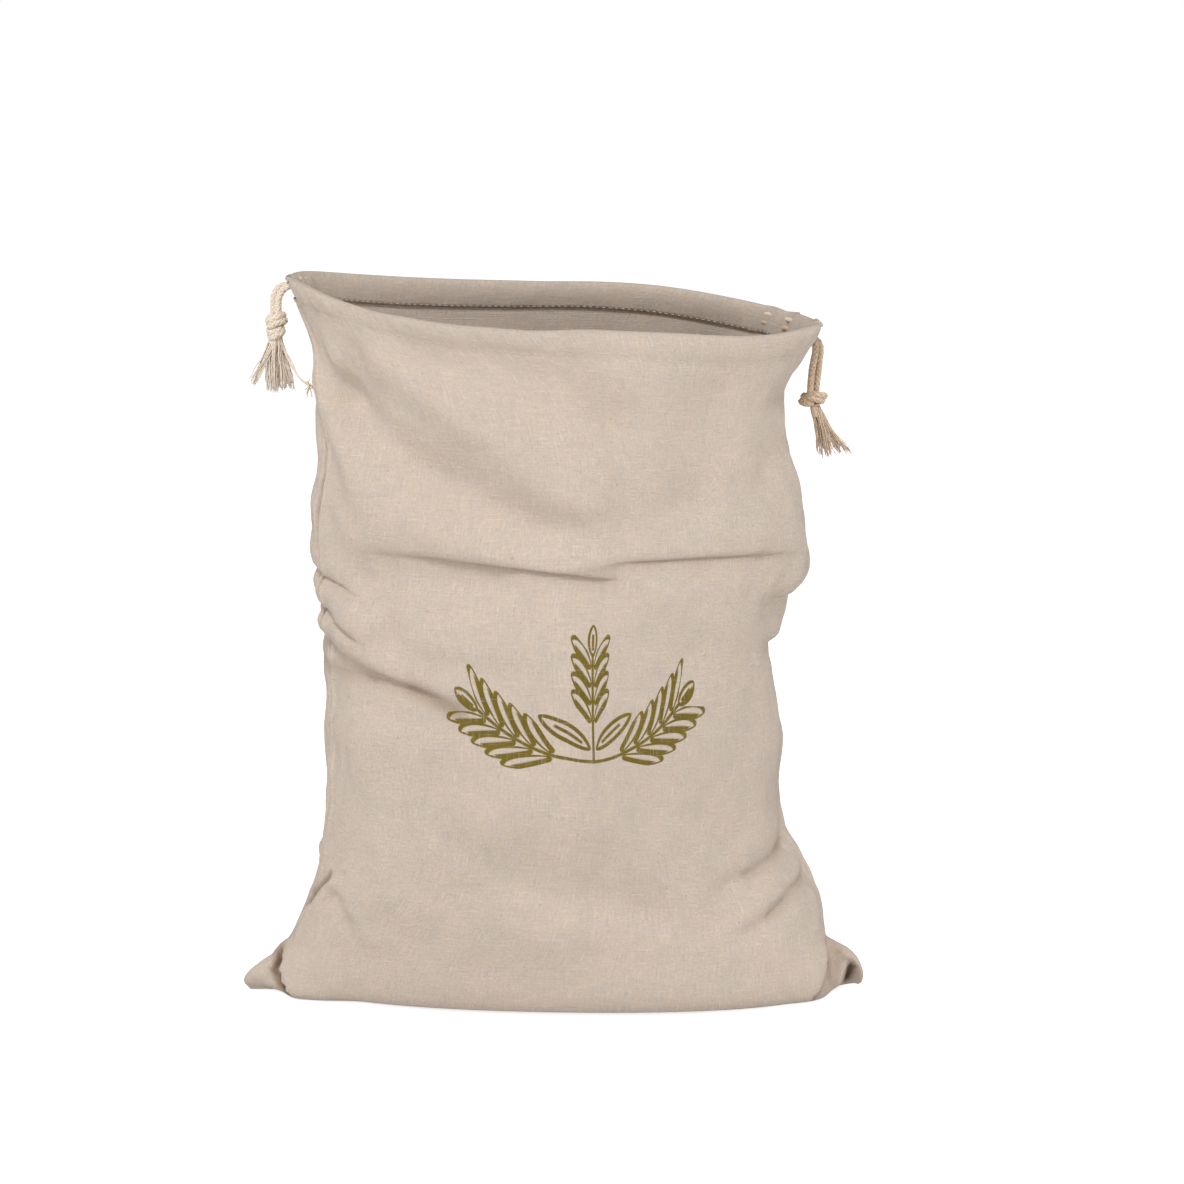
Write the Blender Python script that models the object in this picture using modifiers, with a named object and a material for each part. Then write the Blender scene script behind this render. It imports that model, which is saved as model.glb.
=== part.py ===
# A natural linen drawstring bread bag that stands open, slumped into soft folds as if it were full.
# Metres, +Z up. The front faces -Y, the side seams lie at -X and +X, and the bag stands on Z = 0.
# Angles round the bag are in degrees: 0 is the front, 90 the right seam, 180 the back and -90 the left seam.

import math

import bmesh
import bpy
import numpy as np
from mathutils import Matrix, Vector

MM = 0.001

# Driving sizes, in millimetres
CLOTH_THICKNESS = 1.3
CORD_DIAMETER = 3.5
CORD_STEP = 2.2
COLUMNS_IN_QUARTER = 12
COLUMN_CROWDING = 1.2
MEAN_RADIUS = 105.0

# The wall, from the bottom fold to the casing's stitch line. Each row is one section of the bag: the
# heights of its front, back, left seam and right seam, how far it reaches to the left, right, front and
# back, how far the flat corner of the bag stands out at the left and right, and how many degrees the
# left seam has turned towards the front.
SECTION_NAMES = ("front_z", "back_z", "left_z", "right_z", "left_x", "right_x",
                 "front_y", "back_y", "left_ear", "right_ear", "left_turn")
SECTIONS = (
    (0, 0, 0.4, 3.5, -137, 145.5, 0, 0, 22.5, 13.5, 0),
    (0, 0, 5, 8, -141, 145.5, -34, 36, 22, 15, 0),
    (0, 0, 10.5, 12.5, -142, 145, -54, 58, 18, 15.5, 0),
    (3, 3, 16, 18, -142, 144, -65, 69, 11, 14.5, 0),
    (11, 11, 22, 23.2, -140.5, 143.5, -71, 75, 5, 9.5, 0),
    (24, 24, 29, 26, -137, 142.8, -74, 78, 1, 0.8, 1),
    (41, 41, 42, 42, -131.5, 141.5, -76, 80, 0, 0, 4),
    (55, 55, 55, 55, -127, 137.5, -77.5, 81, 0, 0, 7),
    (68, 68, 68, 68, -122.5, 130, -79, 81.5, 0, 0, 9),
    (82, 82, 82, 82, -119.5, 121.5, -80.5, 82, 0, 0, 11),
    (107, 107, 107, 107, -117, 117.5, -82, 82, 0, 0, 13),
    (132, 132, 132, 132, -119, 120, -83, 82.5, 0, 0, 13),
    (157, 157, 157, 157, -117.5, 117, -83, 82, 0, 0, 13),
    (182, 182, 182, 182, -120, 115.5, -82.5, 81, 0, 0, 13),
    (207, 207, 207, 207, -121, 121.5, -80, 79, 0, 0, 13),
    (232, 232, 232, 232, -122.5, 131, -77, 77, 0, 0, 15),
    (257, 257, 257, 257, -123.5, 129.5, -75, 75, 0, 0, 17),
    (282, 283, 284, 282, -119.5, 124, -73, 73.5, 0, 0, 18),
    (305, 309, 313, 304, -121, 120.5, -71, 72, 0, 0, 13),
    (324, 331, 339, 320, -124.5, 124, -69.5, 70.5, 0, 0, 7),
    (341, 352, 361.5, 336, -129.5, 131.5, -68, 69.5, 0, 0, 3),
)
# A section is an ellipse whose sides are drawn out towards a box by this power.
ROUNDNESS = 0.87
# Rows of faces made between two of the sections above, counted from the bottom fold
ROW_BANDS = ((0, 5, 8), (5, 12, 10), (12, 16, 16), (16, 20, 8))

# The foot of the bag is turned a little round the upright axis, and its left corner is not: how far it is
# turned, the height where that ends, and how far out the left corner is left straight.
FOOT_TURN = dict(slope=0.12, to_z=70, left_straight=(98, 138))

# The two flat ears at the bottom corners. The body folds over each along a line of (height, distance out);
# it stands out over the ear by the lip and hangs over it, and the ear is drawn back behind it by the tuck.
# Both fade between the heights "top" and "foot", and "ahead" brings the corner forward between two distances.
EARS = (
    dict(side=-1, fold=((-4, 136), (1, 137), (8, 140.6), (13, 142.8), (17, 140.8), (24, 140.2), (40, 140)),
         lip=2.4, over=3.0, tuck=10.0, reach=4.0, top=(20, 28), foot=(0, 6), curl=0,
         ahead=5.5, out=(126, 144)),
    dict(side=1, fold=((-4, 136), (2, 137.4), (12, 140.3), (23, 142.5), (40, 143)),
         lip=2.4, over=2.6, tuck=10.0, reach=4.5, top=(22, 29), foot=(0, 8), curl=8,
         ahead=4.5, out=(116, 138)),
)
EAR_STEP = 2.0

# Where the cloth above hangs over the cloth below. The angle and height of both ends, how much the line
# between them bows up, how far the lip stands out, how far the cloth below is drawn in, how far the
# lip sinks, how far both reach up and down the wall, the angle over which each end fades, and how far up
# the lip is rounded.
OVERHANG_NAMES = ("from_angle", "from_z", "to_angle", "to_z", "bow", "lip", "tuck", "drop",
                  "reach_up", "reach_down", "fade_from", "fade_to", "rounding")
OVERHANGS = (
    (-62, 238, 12, 226, 6.4, 2.2, 2.4, 3.0, 24, 26, 54, 7, 4),
    (-4, 236, 84, 230, 5.5, 2.0, 1.8, 2.6, 22, 22, 24, 52, 4),
    (-118, 226, -48, 212, 9, 4.6, 3.2, 4.0, 13, 10, 18, 20, 6),
    (-122, 211, -44, 197, 2, 4.0, 2.8, 3.8, 12, 10, 20, 22, 5),
    (-112, 197, -14, 164, -3, 2.4, 3.0, 2.8, 12, 22, 22, 30, 5),
    (52, 213, 142, 211, 0, 5.0, 3.0, 3.0, 14, 12, 24, 28, 8),
    (60, 187, 168, 192, 0, 3.8, 5.0, 3.0, 15, 26, 22, 34, 16),
    (122, 241, 238, 232, -4, 3.6, 3.0, 4.0, 24, 28, 26, 26, 6),
)
OVERHANG_EDGE = 3.2

# Soft hollows, where the depth is negative, and soft ridges: the depth, the half-width and the line each
# follows on the cloth, as angles and heights
SOFT_FORMS = (
    (4.6, 11, ((-42, 336), (-30, 322), (-17, 302), (-6, 284), (2, 266))),
    (-6.0, 11, ((-60, 316), (-48, 303), (-35, 285), (-17, 268), (-4, 254))),
    (-3.4, 8, ((-52, 336), (-57, 318))),
    (3.4, 9, ((-76, 322), (-67, 300), (-59, 282), (-50, 266))),
    (1.8, 9, ((-80, 305), (-78, 263), (-72, 244))),
    (-2.4, 10, ((-27, 340), (-12, 337), (0, 327), (8, 312))),
    (1.8, 15, ((16, 330), (19, 306), (16, 280))),
    (-2.0, 14, ((37, 320), (35, 294), (29, 268))),
    (1.4, 13, ((60, 315), (52, 290), (44, 262))),
    (-1.8, 12, ((88, 293), (60, 282), (44, 268))),
    (-2.8, 9, ((-66, 226), (-40, 233), (-18, 231))),
    (1.8, 11, ((-58, 246), (-38, 256), (-24, 255), (-12, 248), (0, 239))),
    (1.4, 11, ((6, 244), (25, 248), (54, 249))),
    (2.0, 9, ((-62, 211), (-41, 217), (-28, 214))),
    (-1.6, 9, ((-46, 195), (-29, 187), (-13, 183))),
    (1.4, 12, ((-83, 144), (-43, 150), (-26, 145))),
    (1.8, 22, ((-13, 108), (3, 106))),
    (-2.0, 14, ((-13, 82), (6, 68), (14, 57))),
    (-3.2, 7.5, ((86, 80), (59, 75), (46, 70), (35, 63))),
    (-3.4, 7, ((88, 60), (61, 58), (49, 48), (39, 40))),
    (-3.0, 6, ((-64, 58), (-59, 51), (-53, 44))),
    (-3.4, 5.5, ((-76, 66), (-84, 50), (-90, 36))),
    (-3.0, 9, ((62, 315), (118, 318))),
    (3.0, 30, ((150, 302), (190, 277))),
    (3.0, 30, ((200, 112), (235, 132))),
    (-3.4, 12, ((140, 122), (120, 102))),
    (-3.6, 11, ((215, 202), (176, 170))),
    (-3.2, 12, ((236, 332), (214, 270))),
    (2.4, 10, ((140, 330), (158, 296), (186, 268))),
    (-2.4, 11, ((128, 300), (150, 270), (176, 252))),
)
RIM_SAG = dict(angle=38, spread=30, depth=7.0, from_z=250, to_z=345)

# The casing's hem in cross-section, from the stitch line over the rim and down inside, as (outward, up).
# Between the first of these points and the fourth, the outer layer is open at each seam.
HEM_PROFILE = ((0.9, 1.8), (2.0, 4.8), (2.4, 8.4), (1.7, 12.1), (0.4, 13.9), (-1.6, 14.9),
               (-3.8, 14.0), (-5.2, 11.2), (-5.4, 7.2), (-4.7, 3.4), (-3.1, -0.6))
SLIT_ROWS = 3

# The cords' places inside the casing, and the two free strands of each, from its slit down to its knot
CORD_INSET = 1.65
LEFT_CORD_UP = 10.0
RIGHT_CORD_UP = 5.35
LEFT_STRANDS = (
    ((-130.9, -2.6, 369.85), (-133.8, -2.2, 368.9), (-137.0, -2.2, 366.6), (-138.9, -2.2, 362.4),
     (-139.2, -2.1, 357.2)),
    ((-130.9, 2.6, 369.85), (-133.8, 2.2, 369.2), (-138.0, 2.2, 368.4), (-141.2, 2.1, 364.2),
     (-141.6, 1.9, 357.2)),
)
RIGHT_STRANDS = (
    ((132.8, -2.5, 341.0), (135.4, -2.3, 339.6), (136.0, -2.4, 334.0), (134.4, -2.6, 325.0),
     (133.6, -2.6, 315.4)),
    ((132.8, 2.5, 341.0), (135.8, 2.2, 340.2), (139.0, 1.9, 336.0), (138.4, 1.6, 326.0),
     (137.2, 1.4, 315.4)),
)
LEFT_KNOT = dict(centre=(-140.3, 0, 349.4), size=(6.7, 6.3, 7.9), turn=-12)
RIGHT_KNOT = dict(centre=(135.2, -0.6, 309.6), size=(7.0, 6.2, 5.8), turn=18)

# The frayed ends under a knot: a small round root that splits into locks. The middle of the root's upper
# face, its radius, how far the ends have moved sideways and fallen, and how much wider they spread.
LEFT_TASSEL = dict(top=(-141.0, 0, 342.0), radius=3.6, lean=(-2.0, 0.5), fall=27.0, spread=2.9)
RIGHT_TASSEL = dict(top=(137.0, -0.6, 304.0), radius=3.4, lean=(8.5, 0.5), fall=22.5, spread=2.6)
LOCKS_ACROSS = 5
ROOT_HEIGHT = 2.4
LOCK_GAP = 0.22
# A lock's width against its width at the root, a row per step down it
LOCK_WIDTHS = (1.2, 1.5, 1.45, 0.6)


def clear_scene():
    for obj in list(bpy.data.objects):
        bpy.data.objects.remove(obj, do_unlink=True)


def fabric_material(name, colour, roughness):
    material = bpy.data.materials.new(name)
    material.use_nodes = True
    shader = material.node_tree.nodes["Principled BSDF"]
    shader.inputs["Base Color"].default_value = (*colour, 1)
    shader.inputs["Roughness"].default_value = roughness
    shader.inputs["Metallic"].default_value = 0
    return material


def finished(bm, name, material, collection):
    mesh = bpy.data.meshes.new(name)
    bm.to_mesh(mesh)
    bm.free()
    mesh.materials.append(material)
    mesh.shade_smooth()
    obj = bpy.data.objects.new(name, mesh)
    collection.objects.link(obj)
    return obj


def smooth_step(low, high, value):
    share = np.clip((value - low) / (high - low), 0, 1)
    return share * share * (3 - 2 * share)


def smooth_through(at, knots, values):
    """A curve through the values that never swings past them (a monotone cubic)."""
    step = np.diff(knots)
    slope = np.diff(values) / step
    product, total = slope[:-1] * slope[1:], slope[:-1] + slope[1:]
    inner = np.where(product > 0, 2 * product / np.where(total == 0, 1, total), 0)
    tangent = np.concatenate([[slope[0]], inner, [slope[-1]]])
    place = np.clip(np.searchsorted(knots, at, side="right") - 1, 0, len(step) - 1)
    share = (at - knots[place]) / step[place]
    return ((2 * share**3 - 3 * share**2 + 1) * values[place]
            + (share**3 - 2 * share**2 + share) * step[place] * tangent[place]
            + (3 * share**2 - 2 * share**3) * values[place + 1]
            + (share**3 - share**2) * step[place] * tangent[place + 1])


def column_angles():
    """Angles round the bag, closer together towards the two seams."""
    quarter = 90 * (np.arange(COLUMNS_IN_QUARTER + 1) / COLUMNS_IN_QUARTER) ** COLUMN_CROWDING
    half = np.concatenate([quarter[:-1] - 90, 90 - quarter[::-1][:-1]])
    return np.concatenate([half, half + 180, [270]])


def row_places():
    """How far up the front each section lies from the bottom fold, and each row of points."""
    table = np.array(SECTIONS, float)
    profile = table[:, [SECTION_NAMES.index("front_y"), SECTION_NAMES.index("front_z")]]
    knots = np.concatenate([[0], np.cumsum(np.linalg.norm(np.diff(profile, axis=0), axis=1))])
    rows = [np.linspace(knots[first], knots[last], count + 1)[:-1] for first, last, count in ROW_BANDS]
    return knots, np.concatenate([*rows, [knots[-1]]])


def angle_near(angle, middle):
    """The same angles, each written as the turn nearest to the middle one."""
    return (angle - middle + 180) % 360 - 180 + middle


def overhang_shift(angle, z):
    """How far the folds that hang over push the cloth out, and how far they let it down."""
    out, down = np.zeros_like(z), np.zeros_like(z)
    for row in OVERHANGS:
        fold = dict(zip(OVERHANG_NAMES, row))
        near = angle_near(angle, (fold["from_angle"] + fold["to_angle"]) / 2)
        along = np.clip((near - fold["from_angle"]) / (fold["to_angle"] - fold["from_angle"]), 0, 1)
        line_z = fold["from_z"] + (fold["to_z"] - fold["from_z"]) * along
        line_z += fold["bow"] * 4 * along * (1 - along)
        strength = (smooth_step(fold["from_angle"], fold["from_angle"] + fold["fade_from"], near)
                    * smooth_step(-fold["to_angle"], -fold["to_angle"] + fold["fade_to"], -near))
        above = z - line_z
        step = smooth_step(-OVERHANG_EDGE, OVERHANG_EDGE, above)
        curve = smooth_step(-OVERHANG_EDGE, OVERHANG_EDGE + fold["rounding"], above)
        lip = curve * np.exp(-(np.maximum(above - OVERHANG_EDGE, 0) / fold["reach_up"]) ** 1.5)
        tuck = (1 - step) * np.exp(-np.maximum(-above, 0) / fold["reach_down"])
        sink = step * np.exp(-(np.maximum(above, 0) / (0.6 * fold["reach_up"])) ** 2)
        out += strength * (fold["lip"] * lip - fold["tuck"] * tuck)
        down += strength * fold["drop"] * sink
    return out, down


def soft_shift(angle, z):
    """How far the soft hollows and ridges push the cloth out."""
    out = np.zeros_like(z)
    for depth, half_width, line in SOFT_FORMS:
        near = angle_near(angle, sum(point[0] for point in line) / len(line))
        away = np.full_like(z, 1e9)
        for (from_angle, from_z), (to_angle, to_z) in zip(line, line[1:]):
            across, rise = np.radians(near - from_angle) * MEAN_RADIUS, z - from_z
            run_x, run_z = math.radians(to_angle - from_angle) * MEAN_RADIUS, to_z - from_z
            share = np.clip((across * run_x + rise * run_z) / (run_x**2 + run_z**2), 0, 1)
            away = np.minimum(away, np.hypot(across - share * run_x, rise - share * run_z))
        out += depth * np.exp(-(away / half_width) ** 2)
    return out


def ear_shift(x, z, in_front):
    """How far the corners move outwards and forwards; both layers of an ear move together."""
    outward, forward = np.zeros_like(x), np.zeros_like(x)
    for ear in EARS:
        reach = ear["side"] * x
        knots = np.array(ear["fold"], float)
        beyond = reach - np.interp(z, knots[:, 0], knots[:, 1])
        low = (1 - smooth_step(*ear["top"], z)) * smooth_step(*ear["foot"], z)
        step = smooth_step(-EAR_STEP, EAR_STEP, beyond)
        body = (1 - step) * np.exp(-(np.minimum(beyond, 0) / 7) ** 2) * in_front
        back = step * np.exp(-np.maximum(beyond, 0) / ear["reach"])
        forward += low * (ear["lip"] * body - ear["tuck"] * back)
        forward += ear["ahead"] * smooth_step(*ear["out"], reach) * (1 - smooth_step(16, 44, z))
        outward += low * ear["over"] * body * ear["side"]
    return outward, forward


def wall_points(angle, place, knots):
    """Points of the wall's outer face, in millimetres."""
    table = np.array(SECTIONS, float)
    size = {name: smooth_through(place, knots, table[:, i]) for i, name in enumerate(SECTION_NAMES)}
    from_seam = np.degrees(np.arccos(np.abs(np.sin(np.radians(angle)))))
    angle = angle + size["left_turn"] * (1 - np.sin(np.radians(angle))) / 2
    side, ahead = np.sin(np.radians(angle)), np.cos(np.radians(angle))
    on_left, in_front = side < 0, ahead > 0
    reach_x = np.where(on_left, -size["left_x"], size["right_x"])
    reach_y = np.where(in_front, -size["front_y"], size["back_y"])
    ear = np.where(on_left, size["left_ear"], size["right_ear"])
    # At a bottom corner the two layers run out side by side into a flat ear.
    flat = np.clip(ear / 14, 0, 1)
    flap = np.exp(-(from_seam / 6.5) ** 2)
    pinch = 1 - 0.55 * flat * np.exp(-(from_seam / 9) ** 2)
    layers = 2.3 * flat * flap * smooth_step(0, 8, place) * smooth_step(0, 3, from_seam)
    curl = np.where(on_left, EARS[0]["curl"], EARS[1]["curl"]) * flat * flap**2 * smooth_step(0, 20, place)
    x = np.sign(side) * (reach_x * np.abs(side) ** ROUNDNESS + ear * flap)
    y = -np.sign(ahead) * (reach_y * np.abs(ahead) ** ROUNDNESS * pinch + layers) - curl
    swing = FOOT_TURN["slope"] * (1 - smooth_step(*FOOT_TURN["left_straight"], -x))
    y = y - swing * x * (1 - smooth_step(0, FOOT_TURN["to_z"], size["front_z"]))
    # The rim and the bottom edge rise or fall towards the seams.
    low, high = flap, side**2
    seam_share = low + (high - low) * smooth_step(15, 40, size["front_z"])
    middle_z = size["front_z"] + (size["back_z"] - size["front_z"]) * (1 - ahead) / 2
    seam_z = np.where(on_left, size["left_z"], size["right_z"])
    z = middle_z + (seam_z - middle_z) * seam_share
    # Folds
    standing = smooth_step(20, 45, z)
    push, down = overhang_shift(angle, z)
    push = (push + soft_shift(angle, z)) * standing
    sag_angle = angle_near(angle, RIM_SAG["angle"]) - RIM_SAG["angle"]
    sag = RIM_SAG["depth"] * np.exp(-(sag_angle / RIM_SAG["spread"]) ** 2)
    sag *= smooth_step(RIM_SAG["from_z"], RIM_SAG["to_z"], z)
    ear_out, ear_forward = ear_shift(x, z, in_front)
    x, y = x + ear_out, y - ear_forward
    out_x, out_y = side / np.maximum(reach_x, 1), -ahead / np.maximum(reach_y, 1)
    length = np.hypot(out_x, out_y)
    return np.stack([x + out_x / length * push, y + out_y / length * push, z - down * standing - sag], axis=-1)


def casing_frame(points):
    """The directions out of and up the wall at every column of the stitch line."""
    ring = points[-1][:-1]
    up = (points[-1] - points[-4])[:-1]
    for _ in range(6):
        up = up / np.linalg.norm(up, axis=1, keepdims=True)
        up = np.roll(up, -1, axis=0) + 2 * up + np.roll(up, 1, axis=0)
    along = np.roll(ring, -1, axis=0) - np.roll(ring, 1, axis=0)
    out = np.cross(along, up)
    out, up = (np.vstack([rows, rows[:1]]) for rows in (out, up))
    return out / np.linalg.norm(out, axis=1, keepdims=True), up / np.linalg.norm(up, axis=1, keepdims=True)


def make_cloth(material, collection):
    """The bag is one sheet: a grid wrapped round, closed at the bottom fold and turned in at the rim."""
    knots, places = row_places()
    angle, place = np.meshgrid(column_angles(), places)
    wall = wall_points(angle, place, knots)
    out, up = casing_frame(wall)
    points = np.concatenate([wall, [wall[-1] + out * outward + up * rise for outward, rise in HEM_PROFILE]])
    rows, columns = points.shape[0] - 1, points.shape[1] - 1
    bm = bmesh.new()
    bmesh.ops.create_grid(bm, x_segments=columns, y_segments=rows, size=1)
    slit_rows = range(len(wall), len(wall) + SLIT_ROWS)
    slit_columns = {0, columns // 2 - 1, columns // 2, columns - 1}
    slit = []
    for face in bm.faces:
        centre = face.calc_center_median()
        column, row = int((centre.x + 1) / 2 * columns), int((centre.y + 1) / 2 * rows)
        if row in slit_rows and column in slit_columns:
            slit.append(face)
    for vert in bm.verts:
        column, row = round((vert.co.x + 1) / 2 * columns), round((vert.co.y + 1) / 2 * rows)
        vert.co = Vector(points[row, column]) * MM
    bmesh.ops.delete(bm, geom=slit, context="FACES")
    bmesh.ops.remove_doubles(bm, verts=bm.verts, dist=0.02 * MM)
    cloth = finished(bm, "bag_cloth", material, collection)
    thickness = cloth.modifiers.new("cloth thickness", "SOLIDIFY")
    thickness.thickness = CLOTH_THICKNESS * MM
    thickness.offset = -1
    thickness.use_rim = True
    return wall[-1], out, up


def smooth_route(route, step):
    """Points about a step apart on a smooth curve through the route's own points."""
    route = np.array(route, float)
    along = np.concatenate([[0], np.cumsum(np.linalg.norm(np.diff(route, axis=0), axis=1))])
    at = np.linspace(0, along[-1], max(2, round(along[-1] / step)) + 1)
    ends = np.vstack([2 * route[0] - route[1], route, 2 * route[-1] - route[-2]])
    place = np.clip(np.searchsorted(along, at, side="right") - 1, 0, len(route) - 2)
    share = ((at - along[place]) / (along[place + 1] - along[place]))[:, None]
    before, start, end, after = (ends[place + k] for k in range(4))
    return 0.5 * (2 * start + (end - before) * share
                  + (2 * before - 5 * start + 4 * end - after) * share**2
                  + (3 * start - before - 3 * end + after) * share**3)


def make_cord(name, rise, strands, seam_column, casing, material, collection):
    """One cord: up a strand, in at its slit, once round inside the casing and out again."""
    stitch, out, up = casing
    ring = np.roll((stitch - out * CORD_INSET + up * rise)[:-1], -seam_column, axis=0)[1:]
    front, back = (smooth_route(strand, CORD_STEP) for strand in strands)
    first, last = (front, back) if seam_column == 0 else (back, front)
    route = np.vstack([first[::-1], ring, last])
    curve = bpy.data.curves.new(name, "CURVE")
    curve.dimensions = "3D"
    curve.bevel_depth = CORD_DIAMETER / 2 * MM
    curve.bevel_resolution = 2
    curve.use_fill_caps = True
    spline = curve.splines.new("POLY")
    spline.points.add(len(route) - 1)
    for point, place in zip(spline.points, route):
        point.co = (*(Vector(place) * MM), 1)
    curve.materials.append(material)
    collection.objects.link(bpy.data.objects.new(name, curve))


def make_knot(name, knot, material, collection):
    """A rounded overhand knot: a ball whose face swells into the cord's slanting turns."""
    bm = bmesh.new()
    bmesh.ops.create_uvsphere(bm, u_segments=20, v_segments=12, radius=1)
    for vert in bm.verts:
        around, height = math.atan2(vert.co.y, vert.co.x), math.acos(max(-1, min(1, vert.co.z)))
        ridge = abs(math.sin(1.5 * around + 2.1 * height)) * abs(math.sin(height)) ** 0.5
        vert.co *= 0.86 + 0.14 * ridge
    bm.transform(Matrix.Translation(Vector(knot["centre"]) * MM)
                 @ Matrix.Rotation(math.radians(knot["turn"]), 4, "Y")
                 @ Matrix.Diagonal((*(Vector(knot["size"]) * MM), 1)))
    finished(bm, name, material, collection)


def make_tassel(name, tassel, material, collection):
    """A round root whose underside splits into tapering locks that fan out as they fall."""
    radius = tassel["radius"]
    top = Vector(tassel["top"])
    bm = bmesh.new()
    bmesh.ops.create_grid(bm, x_segments=LOCKS_ACROSS, y_segments=LOCKS_ACROSS, size=1)
    for vert in bm.verts:
        x, y = vert.co.x, vert.co.y
        vert.co = Vector((x * math.sqrt(1 - y * y / 2), y * math.sqrt(1 - x * x / 2), 0)) * radius
    underside = bm.faces[:]
    bmesh.ops.reverse_faces(bm, faces=underside)
    made = bmesh.ops.extrude_face_region(bm, geom=underside, use_keep_orig=True)["geom"]
    for vert in (item for item in made if isinstance(item, bmesh.types.BMVert)):
        vert.co = Vector((vert.co.x * 0.8, vert.co.y * 0.8, ROOT_HEIGHT * (1 - 0.3 * vert.co.length / radius)))
    bmesh.ops.recalc_face_normals(bm, faces=bm.faces)
    bmesh.ops.inset_individual(bm, faces=underside, thickness=LOCK_GAP)
    for number, lock in enumerate(underside):
        middle = lock.calc_center_median()
        corners = [vert.co - middle for vert in lock.verts]
        length = tassel["fall"] * (0.93 + 0.07 * math.sin(7.3 * number))
        sway = Vector((math.sin(3.1 * number), math.sin(5.3 * number + 1), 0)) * 0.5
        for step, width in enumerate(LOCK_WIDTHS):
            share = (step + 1) / len(LOCK_WIDTHS)
            lock = bmesh.ops.extrude_discrete_faces(bm, faces=[lock])["faces"][0]
            spot = middle * (1 + (tassel["spread"] - 1) * share**1.2) + sway * share
            spot += Vector((tassel["lean"][0] * share**1.3, tassel["lean"][1] * share, -length * share))
            for vert, corner in zip(lock.verts, corners):
                vert.co = spot + corner * width
    bm.transform(Matrix.Scale(MM, 4) @ Matrix.Translation(top - Vector((0, 0, ROOT_HEIGHT))))
    finished(bm, name, material, collection)


def main():
    clear_scene()
    bag = bpy.data.collections.new("linen_bread_bag")
    bpy.context.scene.collection.children.link(bag)
    linen = fabric_material("linen", (0.60, 0.50, 0.42), 0.95)
    left_cotton = fabric_material("left_cord_cotton", (0.62, 0.50, 0.38), 0.9)
    right_cotton = fabric_material("right_cord_cotton", (0.56, 0.42, 0.30), 0.9)
    casing = make_cloth(linen, bag)
    make_cord("cord_left", LEFT_CORD_UP, LEFT_STRANDS, 0, casing, left_cotton, bag)
    make_cord("cord_right", RIGHT_CORD_UP, RIGHT_STRANDS, 2 * COLUMNS_IN_QUARTER, casing, right_cotton, bag)
    make_knot("knot_left", LEFT_KNOT, left_cotton, bag)
    make_knot("knot_right", RIGHT_KNOT, right_cotton, bag)
    make_tassel("tassel_left", LEFT_TASSEL, left_cotton, bag)
    make_tassel("tassel_right", RIGHT_TASSEL, right_cotton, bag)


main()
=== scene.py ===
# Linen drawstring bread bag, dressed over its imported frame.
# Bag shapes are worked out in millimetres and turned into metres when a mesh is made.
# Angles round the bag are in degrees: 0 front, 90 right seam, 180 back, -90 left seam.
import math

import bmesh
import bpy
import numpy as np
from mathutils import Matrix, Vector


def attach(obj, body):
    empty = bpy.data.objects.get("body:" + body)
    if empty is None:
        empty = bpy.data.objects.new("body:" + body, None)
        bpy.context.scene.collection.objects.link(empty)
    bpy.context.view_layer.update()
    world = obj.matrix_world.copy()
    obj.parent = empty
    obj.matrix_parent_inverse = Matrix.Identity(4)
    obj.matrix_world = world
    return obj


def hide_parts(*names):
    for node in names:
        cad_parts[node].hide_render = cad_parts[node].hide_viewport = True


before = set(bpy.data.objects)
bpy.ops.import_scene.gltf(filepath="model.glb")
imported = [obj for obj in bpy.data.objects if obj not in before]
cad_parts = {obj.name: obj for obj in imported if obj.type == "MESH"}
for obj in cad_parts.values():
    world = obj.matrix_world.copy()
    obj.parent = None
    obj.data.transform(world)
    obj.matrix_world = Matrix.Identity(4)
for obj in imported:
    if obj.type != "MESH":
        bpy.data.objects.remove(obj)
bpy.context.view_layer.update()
mm = 0.001
print("frame loaded")

# Camera: a little left of straight ahead and looking slightly down
cameraView = dict(azimuth=-4, elevation=10, distance=1.71, aim=(0.0208, 0, 0.209), lens=100, sensor=36)


def addCamera():
    bpy.ops.object.camera_add()
    camera = bpy.context.object
    camera.name = "bagCamera"
    turn, rise = math.radians(cameraView["azimuth"]), math.radians(cameraView["elevation"])
    away = Vector((math.sin(turn) * math.cos(rise), -math.cos(turn) * math.cos(rise), math.sin(rise)))
    camera.location = Vector(cameraView["aim"]) + away * cameraView["distance"]
    camera.rotation_euler = away.to_track_quat("Z", "Y").to_euler()
    camera.data.lens = cameraView["lens"]
    camera.data.sensor_width = cameraView["sensor"]
    camera.data.clip_end = 20
    bpy.context.scene.camera = camera


addCamera()

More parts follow.
